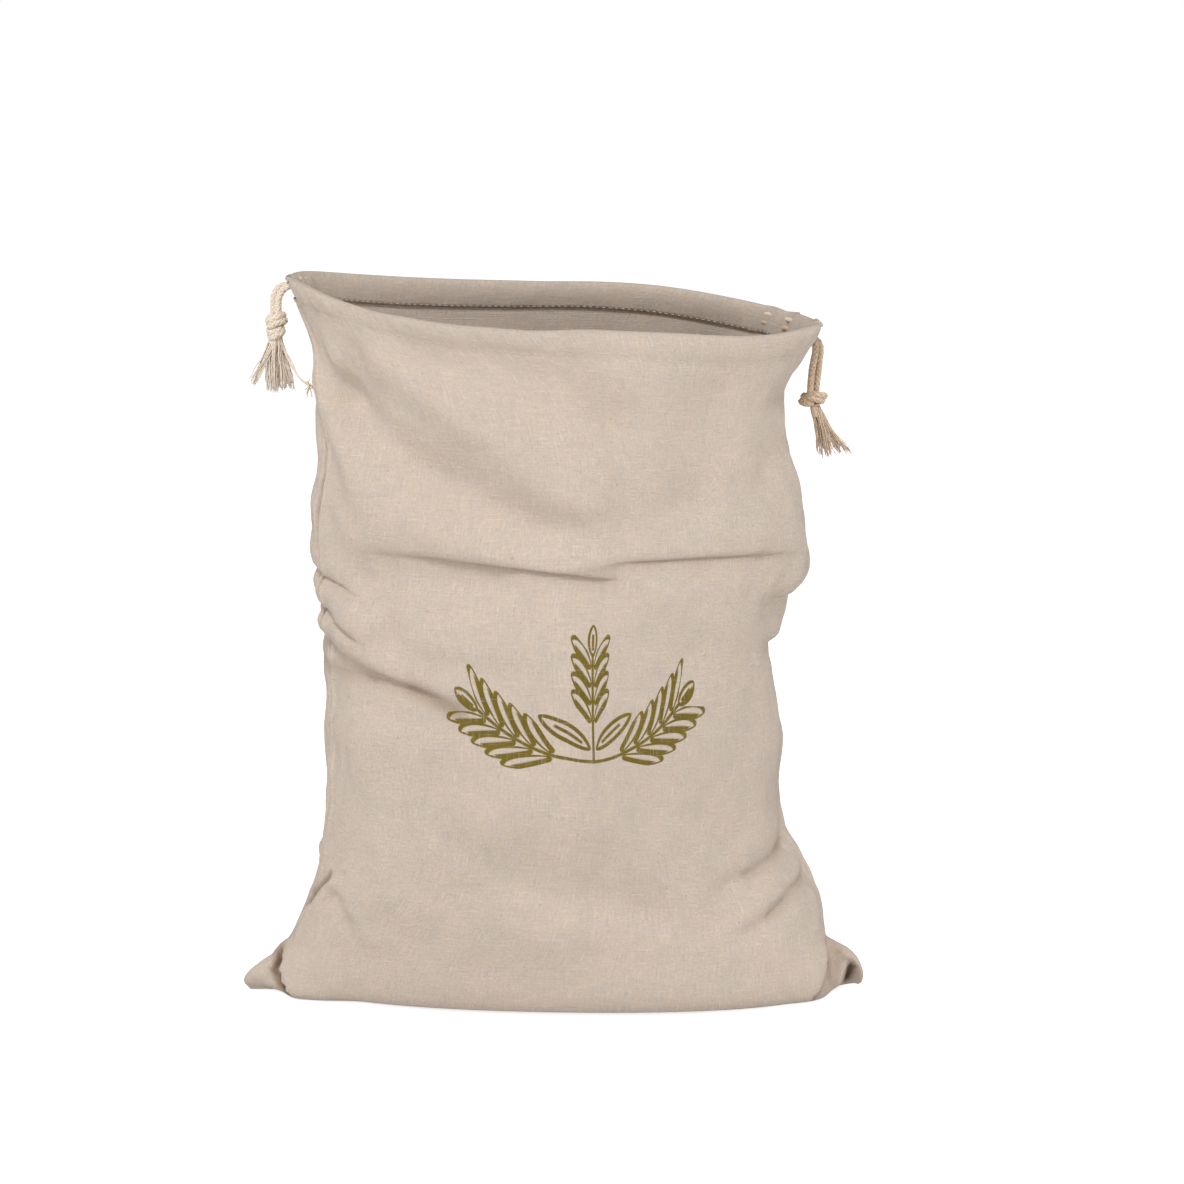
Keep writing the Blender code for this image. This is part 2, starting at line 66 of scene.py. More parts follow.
# The wall from the bottom fold to the casing's stitch line, one value per section of the bag
sections = dict(
    frontZ=(0, 0, 0, 3, 11, 24, 41, 55, 68, 82, 107, 132, 157, 182, 207, 232, 257, 282, 305, 324, 341),
    backZ=(0, 0, 0, 3, 11, 24, 41, 55, 68, 82, 107, 132, 157, 182, 207, 232, 257, 283, 309, 331, 352),
    leftZ=(0.4, 5, 10.5, 16, 22, 29, 42, 55, 68, 82, 107, 132, 157, 182, 207, 232, 257, 284, 313, 339, 361.5),
    rightZ=(3.5, 8, 12.5, 18, 23.2, 26, 42, 55, 68, 82, 107, 132, 157, 182, 207, 232, 257, 282, 304, 320, 336),
    leftX=(-137, -141, -142, -142, -140.5, -137, -131.5, -127, -122.5, -119.5, -117,
           -119, -117.5, -120, -120.5, -120.5, -123, -119.5, -119.5, -122.3, -129.3),
    rightX=(145.5, 145.5, 145, 144, 143.5, 142.8, 141.5, 137.5, 130, 121.5, 117.5,
            120, 117, 115.5, 121.5, 131, 129.5, 124, 120.5, 124, 131.5),
    frontY=(0, -34, -54, -65, -71, -74, -76, -77.5, -79, -80.5, -82,
            -83, -83, -82.5, -80, -77, -75, -73, -71, -69.5, -68),
    backY=(0, 36, 58, 69, 75, 78, 80, 81, 81.5, 82, 82, 82.5, 82, 81, 79, 77, 75, 73.5, 72, 70.5, 69.5),
    leftEar=(22.5, 22, 18, 11, 5, 1, 0, 0, 0, 0, 0, 0, 0, 0, 0, 0, 0, 0, 0, 0, 0),
    rightEar=(13.5, 15, 15.5, 14.5, 9.5, 0.8, 0, 0, 0, 0, 0, 0, 0, 0, 0, 0, 0, 0, 0, 0, 0),
    leftTurn=(0, 0, 0, 0, 0, 1, 4, 7, 9, 11, 13, 13, 13, 13, 13, 15, 17, 18, 16, 11, 4),
)
roundness = 0.87
baseTurn = dict(slope=0.12, toZ=70, leftEar=(98, 138))

# The two ears at the bottom corners: the line where the body folds over the ear as (z, x), painted shade in the
# gap beyond that fold as strength, distance beyond it and half-width, then soft forms as depth (below nought for
# a hollow), half-width and points (x, z)
ears = dict(
    left=dict(fold=((-4, 136), (1, 137), (8, 140.6), (13, 142.8), (17, 140.8), (24, 140.2), (40, 140)), lip=2.4,
              over=3.0, tuck=11.0, reach=4.0, top=(20, 28), foot=(0, 6), curl=0, ahead=5.5, aheadFrom=(126, 144),
              shade=(1.0, 3.0, 2.8),
              forms=((5.0, 3.0, ((147.5, 19), (148.5, 12), (145, 3))),)),
    right=dict(fold=((-4, 129.5), (2, 131.5), (8, 134.8), (13, 136.8), (24, 140.3), (40, 142)), lip=2.4,
               over=2.6, tuck=12.0, reach=4.5, top=(22, 29), foot=(0, 8), curl=8, ahead=4.5, aheadFrom=(116, 138),
               shade=(0.8, 0.6, 1.8),
               forms=((6.0, 2.6, ((150.5, 20), (148.5, 11), (145.5, 2))),
                      (-8, 1.9, ((155.2, 13), (154.4, 9), (153.6, 6))),
                      (3.0, 1.8, ((151, 22), (157, 18), (160, 10), (159, 3), (153.5, 1)))))
)

# Where the cloth above hangs over the cloth below: both ends, bow of the line, how far the lip stands out,
# how far the cloth below is drawn in, how far the lip sinks, reach up and down, fade at each end, roundness
# of the lip and how strong the painted shade underneath is
overhangs = (
    (-62, 238, 12, 228, 6.6, 1.8, 2.0, 3.0, 24, 26, 54, 7, 4, 0.85),
    (-4, 236, 84, 230, 5.5, 1.5, 1.5, 2.6, 22, 22, 24, 52, 4, 0.85),
    (-118, 226, -48, 212, 9, 4.0, 3.2, 4.0, 13, 10, 18, 20, 6, 0.45),
    (-122, 208, -46, 189, 13, 3.6, 3.4, 3.4, 10, 9, 20, 14, 7, 0.5),
    (-112, 206, -14, 164, 2, 2.2, 3.4, 2.2, 11, 22, 22, 30, 9, 0.3),
    (52, 213, 142, 211, 0, 5.0, 3.0, 3.0, 14, 12, 24, 28, 8, 0.35),
    (60, 187, 168, 192, 0, 3.8, 5.0, 3.0, 15, 26, 22, 34, 16, 0.2),
    (122, 241, 238, 232, -4, 3.6, 3.0, 4.0, 24, 28, 26, 26, 6, 0.4),
)
# How wide the step at a fold is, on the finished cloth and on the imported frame's wall
overhangEdge = dict(fine=1.9, packed=3.2)
earEdge = dict(fine=1.1, packed=2.0)
# Heights between which a form begins or ends, then the shape of the flat ears at the seams
wallZones = dict(standing=(20, 45), seamHeight=(15, 40), seamForm=(26, 60), seamTone=(334, 346), calm=(318, 345),
                 calmBy=0.75)
earFlap = dict(half=6.5, pinch=0.55, pinchHalf=9, layers=2.3, fullAt=14, layersFrom=(0, 8), curlFrom=(0, 20))

# Soft forms along lines on the cloth: depth (below nought for a hollow), half-width and the line's points
softForms = (
    (5.8, 11, ((-42, 336), (-30, 322), (-17, 302), (-6, 284), (2, 266))),
    (-8.4, 12, ((-60, 316), (-48, 303), (-35, 285), (-17, 268), (-4, 254))),
    (-3.4, 8, ((-52, 336), (-57, 318))),
    (2.0, 6, ((-65, 341), (-62, 334))),
    (4.2, 9, ((-76, 322), (-67, 300), (-59, 282), (-50, 266))),
    (1.8, 9, ((-80, 305), (-78, 263), (-72, 244))),
    (-5.0, 12, ((-30, 336), (-14, 333), (-1, 322), (8, 306))),
    (2.6, 14, ((16, 330), (19, 306), (16, 280))),
    (-2.8, 14, ((37, 320), (35, 294), (29, 268))),
    (1.4, 13, ((60, 315), (52, 290), (44, 262))),
    (-1.8, 12, ((88, 293), (60, 282), (44, 268))),
    (-4.2, 12, ((-64, 224), (-40, 227), (-16, 225))),
    (1.8, 11, ((-58, 246), (-38, 256), (-24, 255), (-12, 248), (0, 239))),
    (1.4, 11, ((6, 244), (25, 248), (54, 249))),
    (-2.6, 8, ((-54, 224), (-46, 212), (-41, 200))),
    (2.0, 14, ((-30, 200), (-6, 202))),
    (-1.6, 9, ((-46, 195), (-29, 187), (-13, 183))),
    (1.4, 14, ((33, 211), (48, 203))),
    (1.4, 12, ((-83, 144), (-43, 150), (-26, 145))),
    (-1.5, 7, ((-83, 134), (-65, 134))),
    (1.4, 14, ((-78, 104), (-42, 104))),
    (1.8, 22, ((-13, 108), (3, 106))),
    (-2.0, 14, ((-13, 82), (6, 68), (14, 57))),
    (1.4, 12, ((0, 48), (18, 39))),
    (-1.9, 5, ((86, 80), (59, 75), (46, 70), (35, 63))),
    (1.2, 8, ((72, 91), (54, 84), (39, 77))),
    (-2.4, 5, ((88, 60), (61, 58), (49, 48), (39, 40))),
    (1.8, 6, ((78, 69), (55, 61), (42, 51))),
    (-2.6, 4.5, ((80, 75), (67, 69), (60, 64))),
    (-2.2, 5, ((-64, 58), (-59, 51), (-53, 44))),
    (1.6, 5, ((-67, 66), (-57, 57), (-48, 43), (-44, 36))),
    (-1.2, 8, ((-44, 29), (-24, 16), (-5, 4))),
    (-3.0, 9, ((62, 315), (118, 318))),
    (3.0, 30, ((150, 302), (190, 277))),
    (3.0, 30, ((200, 112), (235, 132))),
    (-3.4, 12, ((140, 122), (120, 102))),
    (-3.6, 11, ((215, 202), (176, 170))),
    (-3.2, 12, ((236, 332), (214, 270))),
    (2.4, 10, ((140, 330), (158, 296), (186, 268))),
    (-2.4, 11, ((128, 300), (150, 270), (176, 252))),
    (-2.6, 7, ((100, 84), (130, 70), (156, 66))),
    (-2.4, 6, ((262, 78), (236, 62), (214, 40))),
)

# Narrow creases that only the finished cloth has
fineCreases = (
    (-1.4, 4.5, ((-90, 175), (-52, 176), (-32, 171), (-23, 162))),
    (-1.2, 5, ((-36, 173), (-23, 162))),
    (2.8, 6.5, ((-84, 221), (-67, 217), (-57, 209), (-52, 202))),
    (2.4, 5, ((-80, 201), (-66, 198), (-56, 192), (-48, 187))),
    (-3.6, 2.0, ((-72, 67), (-78, 58), (-83, 50))),
    (2.4, 4.5, ((-96, 75), (-84, 76))),
    (-1.6, 2.4, ((-83, 54), (-88, 38), (-88, 26))),
    (2.0, 3.4, ((-66, 65), (-71, 56), (-77, 47), (-81, 33), (-83, 25))),
    (-1.4, 2.8, ((84, 79), (59, 75), (46, 70))),
    (-1.5, 2.8, ((80, 60), (61, 58), (49, 48))),
    (3.6, 4.2, ((113, 358), (112, 340), (109, 312))),
    (3.4, 3.8, ((122, 360), (121, 340), (118, 318))),
    (-2.2, 4.5, ((117.5, 358), (116, 325))),
    (-1.4, 4, ((150, 210), (172, 205))),
    (-1.2, 5, ((190, 250), (214, 262))),
    (-1.8, 6, ((160, 62), (196, 48))),
    (-1.4, 4, ((-92, 300), (-96, 262))),
)
# The side seams: a groove between two rounded edges, drawn into small puckers
sideSeam = dict(groove=2.0, grooveHalf=1.3, edge=1.3, edgeAt=3.6, edgeHalf=1.9, pucker=0.3, puckerHalf=5,
                length=9.3, mmPerDegree=2.1)
# Painted shade laid into the cloth's colour in its creases: along the seams, under the folds, in the fine creases and
# in the ears
paintedCreaseShade = dict(seam=0.85, seamHalf=1.1, under=1.0, underReach=2.6, fine=0.24, mouth=0.12)
rimSag = dict(angle=38, spread=30, depth=7, fromZ=250, toZ=345)

# Random waves that keep the cloth from being too smooth: length, height and how many
clothWaves = dict(seed=11, kinds=((62, 0.75, 26), (27, 0.3, 30), (13, 0.1, 36)))

# Rows of faces between sections, and columns on the front and back halves
clothGrid = dict(bands=((0, 5, 26), (5, 9, 32), (9, 12, 15), (12, 16, 58), (16, 20, 32)), front=156, back=98,
                 fineStep=0.95, frontStep=2.6, backStep=4.6, fineTo=(16, 40))
clothSheet = dict(thickness=1.3, meanRadius=105, slitHalf=8.2, slitTop=12.1, reference=(121, 80),
                  flat=(0.345, 0.94), hemStep=1.9, hemTop=14, gathers=((0.25, 47, 0), (0.2, 31, 1)),
                  gatherOut=0.8, gatherIn=1.6, mergeBelow=0.00002)

# The casing's hem from the stitch line over the rim and down inside, as (outward, up)
hemProfile = ((0.5, 1.8), (1.1, 4.8), (1.3, 8.4), (1.0, 11.8), (0.2, 13.7), (-1.4, 14.7),
              (-3.1, 13.9), (-4.2, 11.2), (-4.5, 7.2), (-4.0, 3.4), (-3.0, -0.6))


def smoothStep(low, high, value):
    share = np.clip((value - low) / (high - low), 0, 1)
    return share * share * (3 - 2 * share)


def smoothThrough(at, knots, values):
    # a curve through the values that never swings past them
    step = np.diff(knots)
    slope = np.diff(values) / step
    product, total = slope[:-1] * slope[1:], slope[:-1] + slope[1:]
    inner = np.where(product > 0, 2 * product / np.where(total == 0, 1, total), 0)
    tangent = np.concatenate([[slope[0]], inner, [slope[-1]]])
    place = np.clip(np.searchsorted(knots, at, side="right") - 1, 0, len(step) - 1)
    share = (at - knots[place]) / step[place]
    return ((2 * share**3 - 3 * share**2 + 1) * values[place]
            + (share**3 - 2 * share**2 + share) * step[place] * tangent[place]
            + (3 * share**2 - 2 * share**3) * values[place + 1]
            + (share**3 - share**2) * step[place] * tangent[place + 1])


def smoothRoute(route, step):
    # points about a step apart on a smooth curve through the route's own points
    route = np.array(route, float)
    along = np.concatenate([[0], np.cumsum(np.linalg.norm(np.diff(route, axis=0), axis=1))])
    at = np.linspace(0, along[-1], max(2, round(along[-1] / step)) + 1)
    ends = np.vstack([2 * route[0] - route[1], route, 2 * route[-1] - route[-2]])
    place = np.clip(np.searchsorted(along, at, side="right") - 1, 0, len(route) - 2)
    share = ((at - along[place]) / (along[place + 1] - along[place]))[:, None]
    before, start, end, after = (ends[place + k] for k in range(4))
    return 0.5 * (2 * start + (end - before) * share
                  + (2 * before - 5 * start + 4 * end - after) * share**2
                  + (3 * start - before - 3 * end + after) * share**3)


def sectionPlaces():
    # how far up the front each section lies from the bottom fold
    profile = np.array([sections["frontY"], sections["frontZ"]], float).T
    return np.concatenate([[0], np.cumsum(np.linalg.norm(np.diff(profile, axis=0), axis=1))])


def clothColumns():
    # column angles at even steps of cloth, finer on the front, and how far round each one lies
    angle = np.linspace(-90, 270, 7201)
    side, ahead = np.sin(np.radians(angle)), np.cos(np.radians(angle))
    wide, deep = clothSheet["reference"]
    x = np.sign(side) * wide * np.abs(side) ** roundness
    y = np.sign(ahead) * deep * np.abs(ahead) ** roundness
    along = np.concatenate([[0], np.cumsum(np.hypot(np.diff(x), np.diff(y)))])
    half = along[-1] / 2
    place = np.linspace(0, half, 2001)
    near = smoothStep(*clothGrid["fineTo"], np.minimum(place, half - place))
    halves = []
    for count, step in ((clothGrid["front"], clothGrid["frontStep"]), (clothGrid["back"], clothGrid["backStep"])):
        gaps = clothGrid["fineStep"] + (step - clothGrid["fineStep"]) * near[1:]
        columns = np.concatenate([[0], np.cumsum(1 / gaps)])
        halves.append(np.interp(np.linspace(0, columns[-1], count + 1), columns, place))
    around = np.concatenate([halves[0][:-1], half + halves[1]])
    return np.interp(around, along, angle), around


def angleNear(angle, middle):
    return (angle - middle + 180) % 360 - 180 + middle


def overhangShift(angle, z, edge):
    out, down, under = np.zeros_like(z), np.zeros_like(z), np.zeros_like(z)
    for (fromAngle, fromZ, toAngle, toZ, bow, lip, tuck, drop,
         reachUp, reachDown, fadeFrom, fadeTo, rounding, dark) in overhangs:
        near = angleNear(angle, (fromAngle + toAngle) / 2)
        along = np.clip((near - fromAngle) / (toAngle - fromAngle), 0, 1)
        lineZ = fromZ + (toZ - fromZ) * along + bow * 4 * along * (1 - along)
        strength = (smoothStep(fromAngle, fromAngle + fadeFrom, near)
                    * smoothStep(-toAngle, -toAngle + fadeTo, -near))
        above = z - lineZ
        half = edge * (1 + rounding / 12)
        step = smoothStep(-half, half, above)
        curve = smoothStep(-half, half + rounding, above)
        out += strength * (lip * curve * np.exp(-(np.maximum(above - half, 0) / reachUp) ** 1.5)
                           - tuck * (1 - step) * np.exp(-np.maximum(-above, 0) / reachDown))
        down += strength * drop * step * np.exp(-(np.maximum(above, 0) / (0.6 * reachUp)) ** 2)
        # painted shade in the narrow place just under each lip, as strong as the row's last value
        shade = (1 - smoothStep(-0.6, 1.2, above)) * np.exp(-np.maximum(-above, 0) / paintedCreaseShade["underReach"])
        under = np.maximum(under, strength * dark * shade)
    return out, down, under


def softShift(angle, z, forms):
    out = np.zeros_like(z)
    radius = clothSheet["meanRadius"]
    for depth, halfWidth, line in forms:
        near = angleNear(angle, sum(point[0] for point in line) / len(line))
        away = np.full_like(z, 1e9)
        for (fromAngle, fromZ), (toAngle, toZ) in zip(line, line[1:]):
            across, rise = np.radians(near - fromAngle) * radius, z - fromZ
            runX, runZ = math.radians(toAngle - fromAngle) * radius, toZ - fromZ
            share = np.clip((across * runX + rise * runZ) / (runX**2 + runZ**2), 0, 1)
            away = np.minimum(away, np.hypot(across - share * runX, rise - share * runZ))
        out += depth * np.exp(-(away / halfWidth) ** 2)
    return out


def waveShift(angle, z):
    # waves that meet themselves after a turn round the bag
    chance = np.random.default_rng(clothWaves["seed"])
    out = np.zeros_like(z)
    for length, height, count in clothWaves["kinds"]:
        for _ in range(count):
            heading = chance.uniform(0, math.pi)
            around = round(clothSheet["meanRadius"] * 2 * math.pi / length * math.cos(heading))
            upward = 2 * math.pi / length * math.sin(heading)
            phase = chance.uniform(0, 2 * math.pi)
            out += height / math.sqrt(count / 2) * np.cos(around * np.radians(angle) + upward * z + phase)
    return out


def lineShift(x, z, forms):
    # soft forms whose lines are given across and up
    out = np.zeros_like(x)
    for depth, halfWidth, line in forms:
        away = np.full_like(x, 1e9)
        for (fromX, fromZ), (toX, toZ) in zip(line, line[1:]):
            runX, runZ = toX - fromX, toZ - fromZ
            share = np.clip(((x - fromX) * runX + (z - fromZ) * runZ) / (runX**2 + runZ**2), 0, 1)
            away = np.minimum(away, np.hypot(x - fromX - share * runX, z - fromZ - share * runZ))
        out += depth * np.exp(-(away / halfWidth) ** 2)
    return out


def earShift(x, z, inFront, fine):
    # how far the corner's cloth moves outwards and forwards, and the painted shade in its fold and mouth; both layers
    # of the ear move together
    outward, forward, shade = np.zeros_like(x), np.zeros_like(x), np.zeros_like(x)
    for side, ear in ((-1, ears["left"]), (1, ears["right"])):
        reach = side * x
        knots = np.array(ear["fold"], float)
        beyond = reach - np.interp(z, knots[:, 0], knots[:, 1])
        low = (1 - smoothStep(*ear["top"], z)) * smoothStep(*ear["foot"], z)
        soft = earEdge["fine" if fine else "packed"]
        step = smoothStep(-soft, soft, beyond)
        body = (1 - step) * np.exp(-(np.minimum(beyond, 0) / 7) ** 2) * inFront
        hollow = ear["tuck"] * step * np.exp(-np.maximum(beyond, 0) / ear["reach"])
        forward += low * (ear["lip"] * body - hollow)
        forward += ear["ahead"] * smoothStep(*ear["aheadFrom"], reach) * (1 - smoothStep(16, 44, z))
        outward += low * ear["over"] * body * side
        if fine:
            forward += low * lineShift(reach, z, ear["forms"]) * smoothStep(0, 4, beyond)
            # painted shade in the gap beyond the fold and in the ear's hollow mouth
            depth, middle, half = ear["shade"]
            upTo = inFront * (1 - smoothStep(*ear["top"], z))
            shade += upTo * depth * step * np.exp(-((beyond - middle) / half) ** 2)
            hollows = [form for form in ear["forms"] if form[0] < 0]
            shade -= upTo * paintedCreaseShade["mouth"] * lineShift(reach, z, hollows)
    return outward, forward, shade


def seamShift(fromSeam, z):
    across = fromSeam * sideSeam["mmPerDegree"]
    gathers = (np.sin(2 * math.pi * z / sideSeam["length"] + 1.7 * np.sin(z / 17))
               * (0.6 + 0.4 * np.sin(z / 23 + 1)))
    return (-sideSeam["groove"] * np.exp(-(across / sideSeam["grooveHalf"]) ** 2)
            + sideSeam["edge"] * np.exp(-((across - sideSeam["edgeAt"]) / sideSeam["edgeHalf"]) ** 2)
            + sideSeam["pucker"] * gathers * np.exp(-(across / sideSeam["puckerHalf"]) ** 2))


def wallPoints(angle, place, fine):
    # the wall's outer face in millimetres, and the painted shade laid into its colour in the creases; the fine one
    # has the narrow creases and waves as well
    knots = sectionPlaces()
    size = {name: smoothThrough(place, knots, np.array(values, float)) for name, values in sections.items()}
    fromSeam = np.degrees(np.arccos(np.abs(np.sin(np.radians(angle)))))
    angle = angle + size["leftTurn"] * (1 - np.sin(np.radians(angle))) / 2
    side, ahead = np.sin(np.radians(angle)), np.cos(np.radians(angle))
    onLeft, inFront = side < 0, ahead > 0
    reachX = np.where(onLeft, -size["leftX"], size["rightX"])
    reachY = np.where(inFront, -size["frontY"], size["backY"])
    ear = np.where(onLeft, size["leftEar"], size["rightEar"])
    flat = np.clip(ear / earFlap["fullAt"], 0, 1)
    flap = np.exp(-(fromSeam / earFlap["half"]) ** 2)
    pinch = 1 - earFlap["pinch"] * flat * np.exp(-(fromSeam / earFlap["pinchHalf"]) ** 2)
    layers = earFlap["layers"] * flat * flap * smoothStep(*earFlap["layersFrom"], place) * smoothStep(0, 3, fromSeam)
    curl = np.where(onLeft, ears["left"]["curl"], ears["right"]["curl"])
    curl = curl * flat * flap**2 * smoothStep(*earFlap["curlFrom"], place)
    x = np.sign(side) * (reachX * np.abs(side) ** roundness + ear * flap)
    y = -np.sign(ahead) * (reachY * np.abs(ahead) ** roundness * pinch + layers) - curl
    # the foot of the bag is turned a little, and its left ear is not
    swing = baseTurn["slope"] * (1 - smoothStep(*baseTurn["leftEar"], -x))
    y = y - swing * x * (1 - smoothStep(0, baseTurn["toZ"], size["frontZ"]))
    low, high = flap, side**2
    seamShare = low + (high - low) * smoothStep(*wallZones["seamHeight"], size["frontZ"])
    middleZ = size["frontZ"] + (size["backZ"] - size["frontZ"]) * (1 - ahead) / 2
    seamZ = np.where(onLeft, size["leftZ"], size["rightZ"])
    z = middleZ + (seamZ - middleZ) * seamShare
    standing = smoothStep(*wallZones["standing"], z)
    push, down, under = overhangShift(angle, z, overhangEdge["fine" if fine else "packed"])
    push = push + softShift(angle, z, softForms)
    earOut, earForward, shade = earShift(x, z, inFront, fine)
    if fine:
        # painted shade along the seams, under the folds and in the fine hollows
        hollows = [form for form in fineCreases if form[0] < 0]
        seam = np.exp(-(fromSeam * sideSeam["mmPerDegree"] / paintedCreaseShade["seamHalf"]) ** 2)
        seam = seam * (1 - smoothStep(*wallZones["seamTone"], z))
        shade = shade + standing * (paintedCreaseShade["under"] * under + paintedCreaseShade["seam"] * seam
                                    - paintedCreaseShade["fine"] * softShift(angle, z, hollows))
        calm = 1 - wallZones["calmBy"] * smoothStep(*wallZones["calm"], z)
        push = push + softShift(angle, z, fineCreases) + waveShift(angle, z) * calm
        push = push + seamShift(fromSeam, z) * smoothStep(*wallZones["seamForm"], z)
    push = push * standing
    sagAngle = angleNear(angle, rimSag["angle"]) - rimSag["angle"]
    sag = rimSag["depth"] * np.exp(-(sagAngle / rimSag["spread"]) ** 2)
    sag = sag * smoothStep(rimSag["fromZ"], rimSag["toZ"], z)
    x, y = x + earOut, y - earForward
    outX, outY = side / np.maximum(reachX, 1), -ahead / np.maximum(reachY, 1)
    length = np.hypot(outX, outY)
    points = np.stack([x + outX / length * push, y + outY / length * push, z - down * standing - sag], axis=-1)
    return points, np.clip(shade, 0, 1)


def casingFrame(points, rounds):
    # the directions out of and up the wall at every column of the stitch line
    ring = points[-1][:-1]
    up = (points[-1] - points[0])[:-1]
    for _ in range(rounds):
        up = up / np.linalg.norm(up, axis=1, keepdims=True)
        up = np.roll(up, -1, axis=0) + 2 * up + np.roll(up, 1, axis=0)
    along = np.roll(ring, -1, axis=0) - np.roll(ring, 1, axis=0)
    out = np.cross(along, up)
    out, up = (np.vstack([rows, rows[:1]]) for rows in (out, up))
    return [rows / np.linalg.norm(rows, axis=1, keepdims=True) for rows in (out, up)]


def clearSelection():
    if bpy.context.object and bpy.context.object.mode != "OBJECT":
        bpy.ops.object.mode_set(mode="OBJECT")
    bpy.ops.object.select_all(action="DESELECT")


def pieceFromMesh(name, mesh, material):
    piece = bpy.data.objects.new(name, mesh)
    bpy.context.collection.objects.link(piece)
    mesh.materials.append(material)
    mesh.shade_smooth()
    return piece


def joined(pieces, name):
    clearSelection()
    for piece in pieces:
        piece.select_set(True)
    bpy.context.view_layer.objects.active = pieces[0]
    bpy.ops.object.join()
    pieces[0].name = name
    pieces[0].data.name = name
    return pieces[0]


def applyModifiers(piece):
    clearSelection()
    piece.select_set(True)
    bpy.context.view_layer.objects.active = piece
    for modifier in list(piece.modifiers):
        bpy.ops.object.modifier_apply(modifier=modifier.name)


# Cords: their places inside the casing and the two free strands of each, in millimetres
cordSizes = dict(diameter=3.5, inset=1.65, step=2.2, carriers=4, lay=11, carrierWide=0.82, carrierThick=0.5,
                 ringRadius=1.2, weaveHeight=0.2, coreRadius=1.28, plaitInCasing=3)
leftCord = dict(
    up=10.0, seamColumn=0,
    front=((-130.9, -2.6, 369.85), (-133.8, -2.2, 368.9), (-137.0, -2.2, 366.6), (-138.9, -2.2, 362.4),
           (-139.2, -2.1, 357.2), (-139.6, -1.6, 351.5)),
    back=((-130.9, 2.6, 369.85), (-133.8, 2.2, 369.2), (-138.0, 2.2, 368.4), (-141.2, 2.1, 364.2),
          (-141.6, 1.9, 357.2), (-141.3, 1.4, 351.5)))
rightCord = dict(
    up=5.35, seamColumn=24,
    front=((132.8, -2.5, 341.0), (135.4, -2.3, 339.6), (136.0, -2.4, 334.0), (134.4, -2.6, 325.0),
           (133.6, -2.6, 315.4), (133.8, -2.0, 311.0)),
    back=((132.8, 2.5, 341.0), (135.8, 2.2, 340.2), (139.0, 1.9, 336.0), (138.4, 1.6, 326.0),
          (137.2, 1.4, 315.4), (136.6, 1.0, 311.0)))


def frameColumns():
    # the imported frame's own columns, which the cords follow inside the casing
    quarter = 90 * (np.arange(13) / 12) ** 1.2
    half = np.concatenate([quarter[:-1] - 90, 90 - quarter[::-1][:-1]])
    return np.concatenate([half, half + 180, [270]])


def cordRoute(cord):
    # up a strand, in at its slit, once round inside the casing and out again
    knots = sectionPlaces()
    lastPlaces = np.linspace(knots[16], knots[20], 9)[5:]
    angle, place = np.meshgrid(frameColumns(), lastPlaces)
    wall, _ = wallPoints(angle, place, False)
    out, up = casingFrame(wall, 6)
    ring = (wall[-1] - out * cordSizes["inset"] + up * cord["up"])[:-1]
    ring = np.roll(ring, -cord["seamColumn"], axis=0)[1:]
    front, back = (smoothRoute(cord[name], cordSizes["step"]) for name in ("front", "back"))
    first, last = (front, back) if cord["seamColumn"] == 0 else (back, front)
    return np.vstack([first[::-1], ring, last]), len(first), len(last)


def routeFrames(route):
    # two directions across a route that don't twist about it
    ahead = np.gradient(route, axis=0)
    ahead /= np.linalg.norm(ahead, axis=1, keepdims=True)
    across = np.zeros_like(route)
    start = np.cross(ahead[0], (0, 1, 0.2))
    across[0] = start / np.linalg.norm(start)
    for i in range(1, len(route)):
        moved = across[i - 1] - ahead[i] * np.dot(across[i - 1], ahead[i])
        across[i] = moved / np.linalg.norm(moved)
    return across, np.cross(ahead, across)


def tubeMesh(name, route, radii, sides, wide=None, wideAxis=None, thickAxis=None):
    # a closed tube; u runs round it and v along it, in metres
    route = np.array(route, float)
    radii = np.broadcast_to(radii, len(route))
    if wideAxis is None:
        wideAxis, thickAxis = routeFrames(route)
    wide = radii if wide is None else np.broadcast_to(wide, len(route))
    turn = np.arange(sides) * 2 * math.pi / sides
    rings = (route[:, None] + wideAxis[:, None] * (np.cos(turn)[None, :, None] * wide[:, None, None])
             + thickAxis[:, None] * (np.sin(turn)[None, :, None] * radii[:, None, None]))
    verts = np.concatenate([rings.reshape(-1, 3), route[:1], route[-1:]]) * mm
    count = len(route)
    faces = []
    for i in range(count - 1):
        for j in range(sides):
            k = (j + 1) % sides
            faces.append((i * sides + j, i * sides + k, (i + 1) * sides + k, (i + 1) * sides + j))
    first, last = count * sides, count * sides + 1
    faces += [(first, (j + 1) % sides, j) for j in range(sides)]
    faces += [(last, (count - 1) * sides + j, (count - 1) * sides + (j + 1) % sides) for j in range(sides)]
    mesh = bpy.data.meshes.new(name)
    mesh.from_pydata(verts.tolist(), [], faces)
    along = np.concatenate([[0], np.cumsum(np.linalg.norm(np.diff(route, axis=0), axis=1))]) * mm
    around = 2 * math.pi * float(np.mean(radii)) * mm / sides
    layer = mesh.uv_layers.new(name="yarnUV")
    uvs = np.zeros((len(mesh.loops), 2))
    at = 0
    for i in range(count - 1):
        for j in range(sides):
            uvs[at:at + 4] = ((j * around, along[i]), ((j + 1) * around, along[i]),
                              ((j + 1) * around, along[i + 1]), (j * around, along[i + 1]))
            at += 4
    layer.data.foreach_set("uv", uvs.ravel())
    mesh.validate()
    return mesh


